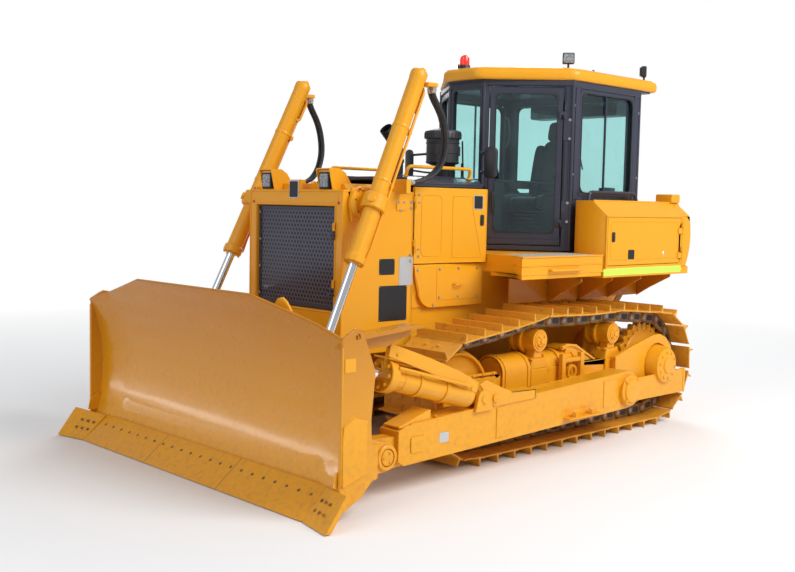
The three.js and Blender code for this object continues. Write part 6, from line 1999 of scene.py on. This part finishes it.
def cushion(shell, centre, u, v, w, size, power=0.42, steps=14):
    """Rounded pad: a superellipsoid with a crowned face, along axes u, v and thickness w."""
    a = np.linspace(-pi / 2, pi / 2, steps)
    b = np.arange(2 * steps) * pi / steps
    bend = lambda x: np.sign(x) * np.abs(x) ** power
    ring = [
        np.outer(bend(cos(t)) * bend(np.cos(b)) * size[0] / 2, u)
        + np.outer(bend(cos(t)) * bend(np.sin(b)) * size[1] / 2, v)
        + np.outer(np.full(2 * steps, bend(sin(t)) * size[2] / 2), w)
        for t in a[1:-1]
    ]
    points = np.concatenate(ring) + np.asarray(centre, float)
    points = np.vstack([points, centre - np.asarray(w) * size[2] / 2, centre + np.asarray(w) * size[2] / 2])
    n, m = 2 * steps, len(ring)
    faces = ring_faces(m, n)
    faces += [[n * m, (k + 1) % n, k] for k in range(n)]
    faces += [[n * m + 1, (m - 1) * n + k, (m - 1) * n + (k + 1) % n] for k in range(n)]
    if np.dot(np.cross(u, v), w) < 0:
        faces = [face[::-1] for face in faces]
    shell.add(points, faces)


def make_interior():
    """Seat with bolsters, headrest and arm rests; dash with screen, levers, pedals and side consoles."""
    lean = unit([-130, 0, 650])
    ahead = unit(np.cross([0, 1, 0], lean))
    east, north, up = np.eye(3)
    back = np.array([140, 0, 2480.0])
    pads = [
        ("seat_cushion", (430, 0, 2140), east, north, up, (540, 400, 150)),
        ("seat_back_cushion", back, north, lean, ahead, (380, 660, 130)),
        ("seat_headrest", (62, 0, 2895), north, lean, ahead, (290, 210, 110)),
    ]
    for side, sign in SIDES:
        pads += [
            (side + "seat_bolster", (430, 215 * sign, 2160), east, north, up, (510, 96, 150)),
            (
                side + "back_bolster", back + [0, 205 * sign, -20] + ahead * 30, north, lean, ahead,
                (96, 590, 140),
            ),
            (side + "arm_rest", (330, 300 * sign, 2330), east, north, up, (380, 74, 70)),
        ]
    for name, centre, u, v, w, size in pads:
        pad = Solids()
        cushion(pad, centre, u, v, w, size)
        piece = pad.finish(name, "machine", "seat_cloth", 1, 60)
        if name == "seat_cushion":
            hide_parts("operator_seat")
    welt, t = Solids(), np.linspace(0, 2 * pi, 49)[:-1]
    for centre, u, v, size in (
        ((430, 0, 2152), east, north, (540, 400)), (back + ahead * 12, north, lean, (380, 660))
    ):
        bend = lambda x: np.sign(x) * np.abs(x) ** 0.42
        line = np.asarray(centre) + np.outer(
            bend(np.cos(t)) * size[0] * 0.5, u
        ) + np.outer(bend(np.sin(t)) * size[1] * 0.5, v)
        welt.tube(np.vstack([line, line[:1]]), 5, 8)
    for k in (-2, -1, 0, 1, 2):
        ends = [back + lean * 110 * k + ahead * 62 + [0, y, 0] for y in (-150, 0, 150)]
        welt.tube(ends, 4, 8)
        ends = [np.array([430 + 85 * k, y, 2213]) for y in (-160, 0, 160)]
        welt.tube(ends, 4, 8)
    welt.finish("seat_welts", "machine", "black_plastic", 1, 60)
    base = Solids()
    base.block(200, 560, -190, 190, CAB_FLOOR, 1850, 8)
    for k in range(5):
        s = 195 - 8 * (k % 2)
        base.block(380 - s, 380 + s, -s, s, 1850 + 40 * k, 1888 + 40 * k, 10)
    base.block(190, 640, -230, 230, 2050, 2078, 6)
    base.tube([(60, 0, 2780), (50, 0, 2860)], 16, 12)
    base.finish("seat_base", "machine", "black_plastic", 1, 34)
    dash = Solids()
    section = [
        (1190, 1748), (1190, 2180), (1160, 2240), (1180, 2330), (1260, 2376), (1400, 2366), (1424, 2300),
        (1424, 1748),
    ]
    dash.plate_y(section, -184, 184, 10)
    dash.block(1165, 1200, -120, 120, 2200, 2320, 6)
    dash.block(740, 1250, -180, 180, 1745.6, 1757, 3)
    dash.block(740, 900, -540, 540, 1745.6, 1757, 3)
    for y in (-120, 0, 120):
        dash.slab(
            rounded(-38, 38, -55, 55, 10, 3), LEFT, unit([0.6, 0, 0.8]), (1090, y, 1830),
            unit([-0.8, 0, 0.6]) * 14, 3,
        )
        dash.tube([(1100, y, 1800), (1180, y, 1760)], 10, 10)
    for sign in (1, -1):
        y = sign * 440
        dash.block(160, 760, y - 116, y + 116, CAB_FLOOR, 2230, 16)
        dash.slab(rounded(-250, 280, -100, 100, 20, 4), AHEAD, LEFT, (480, y, 2228), (0, 0, 26), 8)
        dash.tube(smooth_path([(640, y, 2250), (650, y, 2330), (690, y - sign * 10, 2400)], 6), 14, 12)
        cushion(
            dash, np.array([700, y - sign * 12, 2440.0]), np.array([1.0, 0, 0]), np.array([0, 1.0, 0]),
            unit([0.2, 0, 1.0]), (62, 58, 110), power=0.8,
        )
        for x in (330, 400, 470):
            dash.rod((x, y, 2250), (x, y, 2266), 17, 4, 20)
    made = dash.finish("control_desk", "machine", "black_plastic", 1, 34)
    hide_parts("control_console")
    screen = Solids()
    screen.slab(
        rounded(-90, 90, -55, 55, 8, 3), LEFT, unit([0.35, 0, 1]), (1160, 0, 2420),
        unit([-1, 0, 0.35]) * 22, 4,
    )
    screen.tube([(1180, 0, 2370), (1176, 0, 2420)], 12, 12)
    screen.finish("dash_screen", "machine", "black_paint", 1, 30)
    Solids().plate_z(
        [(-30, -790), (960, -790), (1440, -215), (1440, 215), (960, 790), (-30, 790)], 1744, 1749, 1
    ).finish("cab_floor_mat", "machine", "hose_rubber", 1, 30)


# ---------------------------------------------------------------- track frame

TRACK_Y = 1000  # centre line of the left track


def pedestal(shell, x, top):
    """Cast stand of a carrier roller: flared box foot, waisted post and a split housing with cap bolts."""
    foot = [(x - 118, 700), (x + 118, 700), (x + 108, 760), (x + 84, 792), (x - 84, 792), (x - 108, 760)]
    shell.plate_y(foot, 1010, 1148, 8)
    shell.plate_y(rect(x - 112, x + 112, 540, 702), 1128, 1150, 5)
    neck = [
        (x - 62, 790), (x + 62, 790), (x + 50, 850), (x + 56, top - 20), (x - 56, top - 20), (x - 50, 850)
    ]
    shell.plate_y(neck, 1030, 1130, 10)
    shell.hollow_ring(
        [(0, 30), (0, 78), (10, 84), (96, 84), (106, 78), (106, 30)], (x, 1050, top), LEFT, 40
    )
    shell.lathe(
        [(0, 0), (0, 60), (10, 60), (16, 50), (16, 24), (26, 22), (26, 0)], (x, 1152, top), LEFT, 32
    )
    shell.block(x - 92, x - 60, 1052, 1146, top - 34, top + 34, 6)
    shell.block(x + 60, x + 92, 1052, 1146, top - 34, top + 34, 6)
    spots = [(x + dx, y, 786) for dx in (-90, 90) for y in (1040, 1120)]
    bolts(shell, spots, UP, 15, 16)
    bolts(shell, [(x + dx, y, top + 34) for dx in (-76, 76) for y in (1075, 1124)], UP, 12, 14)
    bolts(shell, circle_points(x, 1168, top, 46, 4, 45), LEFT, 8, 8)


def make_track_frames():
    """Carrier stands, recoil covers, arched cover, ladder frame, rear guard plate and guards on each frame."""
    for side, sign in SIDES:
        frame, drums = Solids(), Solids()
        for x, top in ((1756, 948), (655, 934)):
            pedestal(frame, x, top)
            for y in (895, 985):
                drums.hollow_ring(
                    [(0, 99), (0, 124), (8, 128), (26, 128), (34, 124), (34, 99)], (x, y, top), LEFT, 48
                )
            drums.hollow_ring([(0, 99), (0, 108), (56, 108), (56, 99)], (x, 929, top), LEFT, 48)
        drums.finish(side + "carrier_flanges", "machine", "yellow_paint", sign, 34)
        # saddle over the recoil cylinder: an arch with straight skirts and end flanges
        turn = np.radians(np.linspace(0, 180, 22))
        for x0, x1, r in ((1880, 2250, 152), (1905, 1925, 160), (2200, 2220, 160)):
            arch = np.c_[TRACK_Y + r * np.cos(turn), 700 + r * np.sin(turn) * 0.92]
            outline = np.vstack([[TRACK_Y + r, 560], arch, [TRACK_Y - r, 560]])
            inner = np.vstack(
                [
                    [TRACK_Y - r + 12, 560],
                    np.c_[TRACK_Y - (r - 12) * np.cos(turn), 700 + (r - 12) * np.sin(turn) * 0.92],
                    [TRACK_Y + r - 12, 560],
                ]
            )
            frame.plate_x(np.vstack([outline, inner]), x0, x1)
        for x in (1200, 1420, 1600):
            frame.hollow_ring([(0, 124), (0, 138), (34, 138), (34, 124)], (x, TRACK_Y, 700), AHEAD, 40)
        # fender-like arch behind the recoil housing
        t = np.radians(np.linspace(178, 62, 12))
        arc_line = np.c_[1260 + 230 * np.cos(t), 640 + 225 * np.sin(t)]
        frame.plate_y(
            np.vstack([arc_line, (arc_line - (arc_line - [1260, 640]) * 0.09)[::-1]]), 900, 1096, 2
        )
        ramp = [
            (1368, 838), (1300, 858), (1180, 842), (900, 700), (690, 560), (668, 572), (880, 716),
            (1166, 864), (1300, 880), (1380, 858),
        ]
        frame.plate_y(ramp, 1062, 1104, 4)
        frame.plate_y([(1340, 700), (1300, 858), (1180, 842), (900, 700)], 1070, 1090, 3)
        # ladder frame outside the recoil barrel
        for x in (1200, 1470):
            frame.block(x - 26, x + 26, 1160, 1200, 520, 808, 4)
        frame.block(1200, 1470, 1164, 1196, 730, 768, 4)
        frame.block(1140, 1540, 1126, 1202, 520, 548, 4)
        frame.hollow_ring([(0, 44), (0, 66), (26, 66), (26, 44)], (1335, 1166, 640), LEFT, 32)
        # guard plate from the trunnion mount back under the drive cap
        frame.plate_y([(-380, 290), (800, 290), (800, 500), (-360, 526), (-380, 500)], 1288, 1306, 4)
        frame.block(-70, 70, 1214, 1290, 320, 470, 6)
        frame.block(520, 560, 1130, 1290, 330, 470, 6)
        frame.block(-384, -350, 1262, 1310, 292, 524, 4)
        bolts(frame, [(x, 1306, z) for x in (560, 700) for z in (330, 460)], LEFT, 16, 16)
        # bolted flange on the trunnion mount
        bolts(frame, [(x, 1290, z) for x in (835, 1065) for z in (360, 480, 600)], LEFT, 17, 16)
        # side guards over the rollers with their bolts
        frame.plate_y(
            [(560, 250), (2180, 250), (2240, 300), (2240, 452), (500, 452), (500, 300)], 1118, 1134, 4
        )
        bolts(frame, [(x, 1134, 420) for x in range(600, 2240, 180)], LEFT, 14, 13)
        # idler fork: slide plates, cap and its bolts
        frame.plate_y(rounded(2290, 2940, 470, 690, 40, 4), 1104, 1126, 5)
        frame.block(2310, 2860, 1100, 1136, 706, 726, 5)
        frame.lathe([(0, 0), (0, 84), (8, 90), (22, 90), (30, 80), (30, 0)], (2730, 1126, 590), LEFT, 40)
        bolts(frame, circle_points(2730, 1154, 590, 60, 4, 45), LEFT, 12, 12)
        bolts(frame, [(x, 1134, 716) for x in (2350, 2480, 2610)], LEFT, 12, 12)
        frame.finish(side + "frame_details", "machine", "yellow_paint", sign, 34)
        # hull side plates under the engine bay and the deck
        hull = Solids()
        hull.plate_y([(1960, 900), (2849, 900), (2849, 1262), (2640, 1262), (1960, 1262)], 588, 606, 3)
        hull.plate_y(rect(1960, 2849, 1244, 1612), 600, 618, 3)
        hull.plate_y(rect(1060, 1962, 960, 1530), 590, 602, 3)
        bolts(hull, [(x, 606, 940) for x in range(2020, 2840, 160)], LEFT, 13, 12)
        hull.finish(side + "hull_side_plates", "machine", "yellow_paint", sign, 34)


def make_cab_mounts():
    """Rubber mounts between the deck and the cab floor."""
    rubber = Solids()
    for x, y in ((-30, 780), (940, 780), (1430, 190), (-30, -780), (940, -780), (1430, -190)):
        rubber.lathe([(0, 0), (0, 62), (4, 66), (9.4, 62), (9.4, 0)], (x, y, 1690.3), UP, 32)
    rubber.finish("cab_mounts", "machine", "hose_rubber", 1, 34)


# ---------------------------------------------------------------- everything

point_camera()
finishes = make_finishes()
for step in (
    light_studio,
    lay_floor,
    dress_nodes,
    make_hoses,
    make_tracks,
    make_wheels,
    make_blade_skin,
    make_blade_trim,
    make_arm_details,
    make_tilt_cylinder,
    make_brace,
    make_lift_cylinders,
    make_engine_side,
    make_front,
    make_hood,
    make_platform,
    make_cab,
    make_roof,
    make_interior,
    make_track_frames,
    make_cab_mounts,
):
    step()
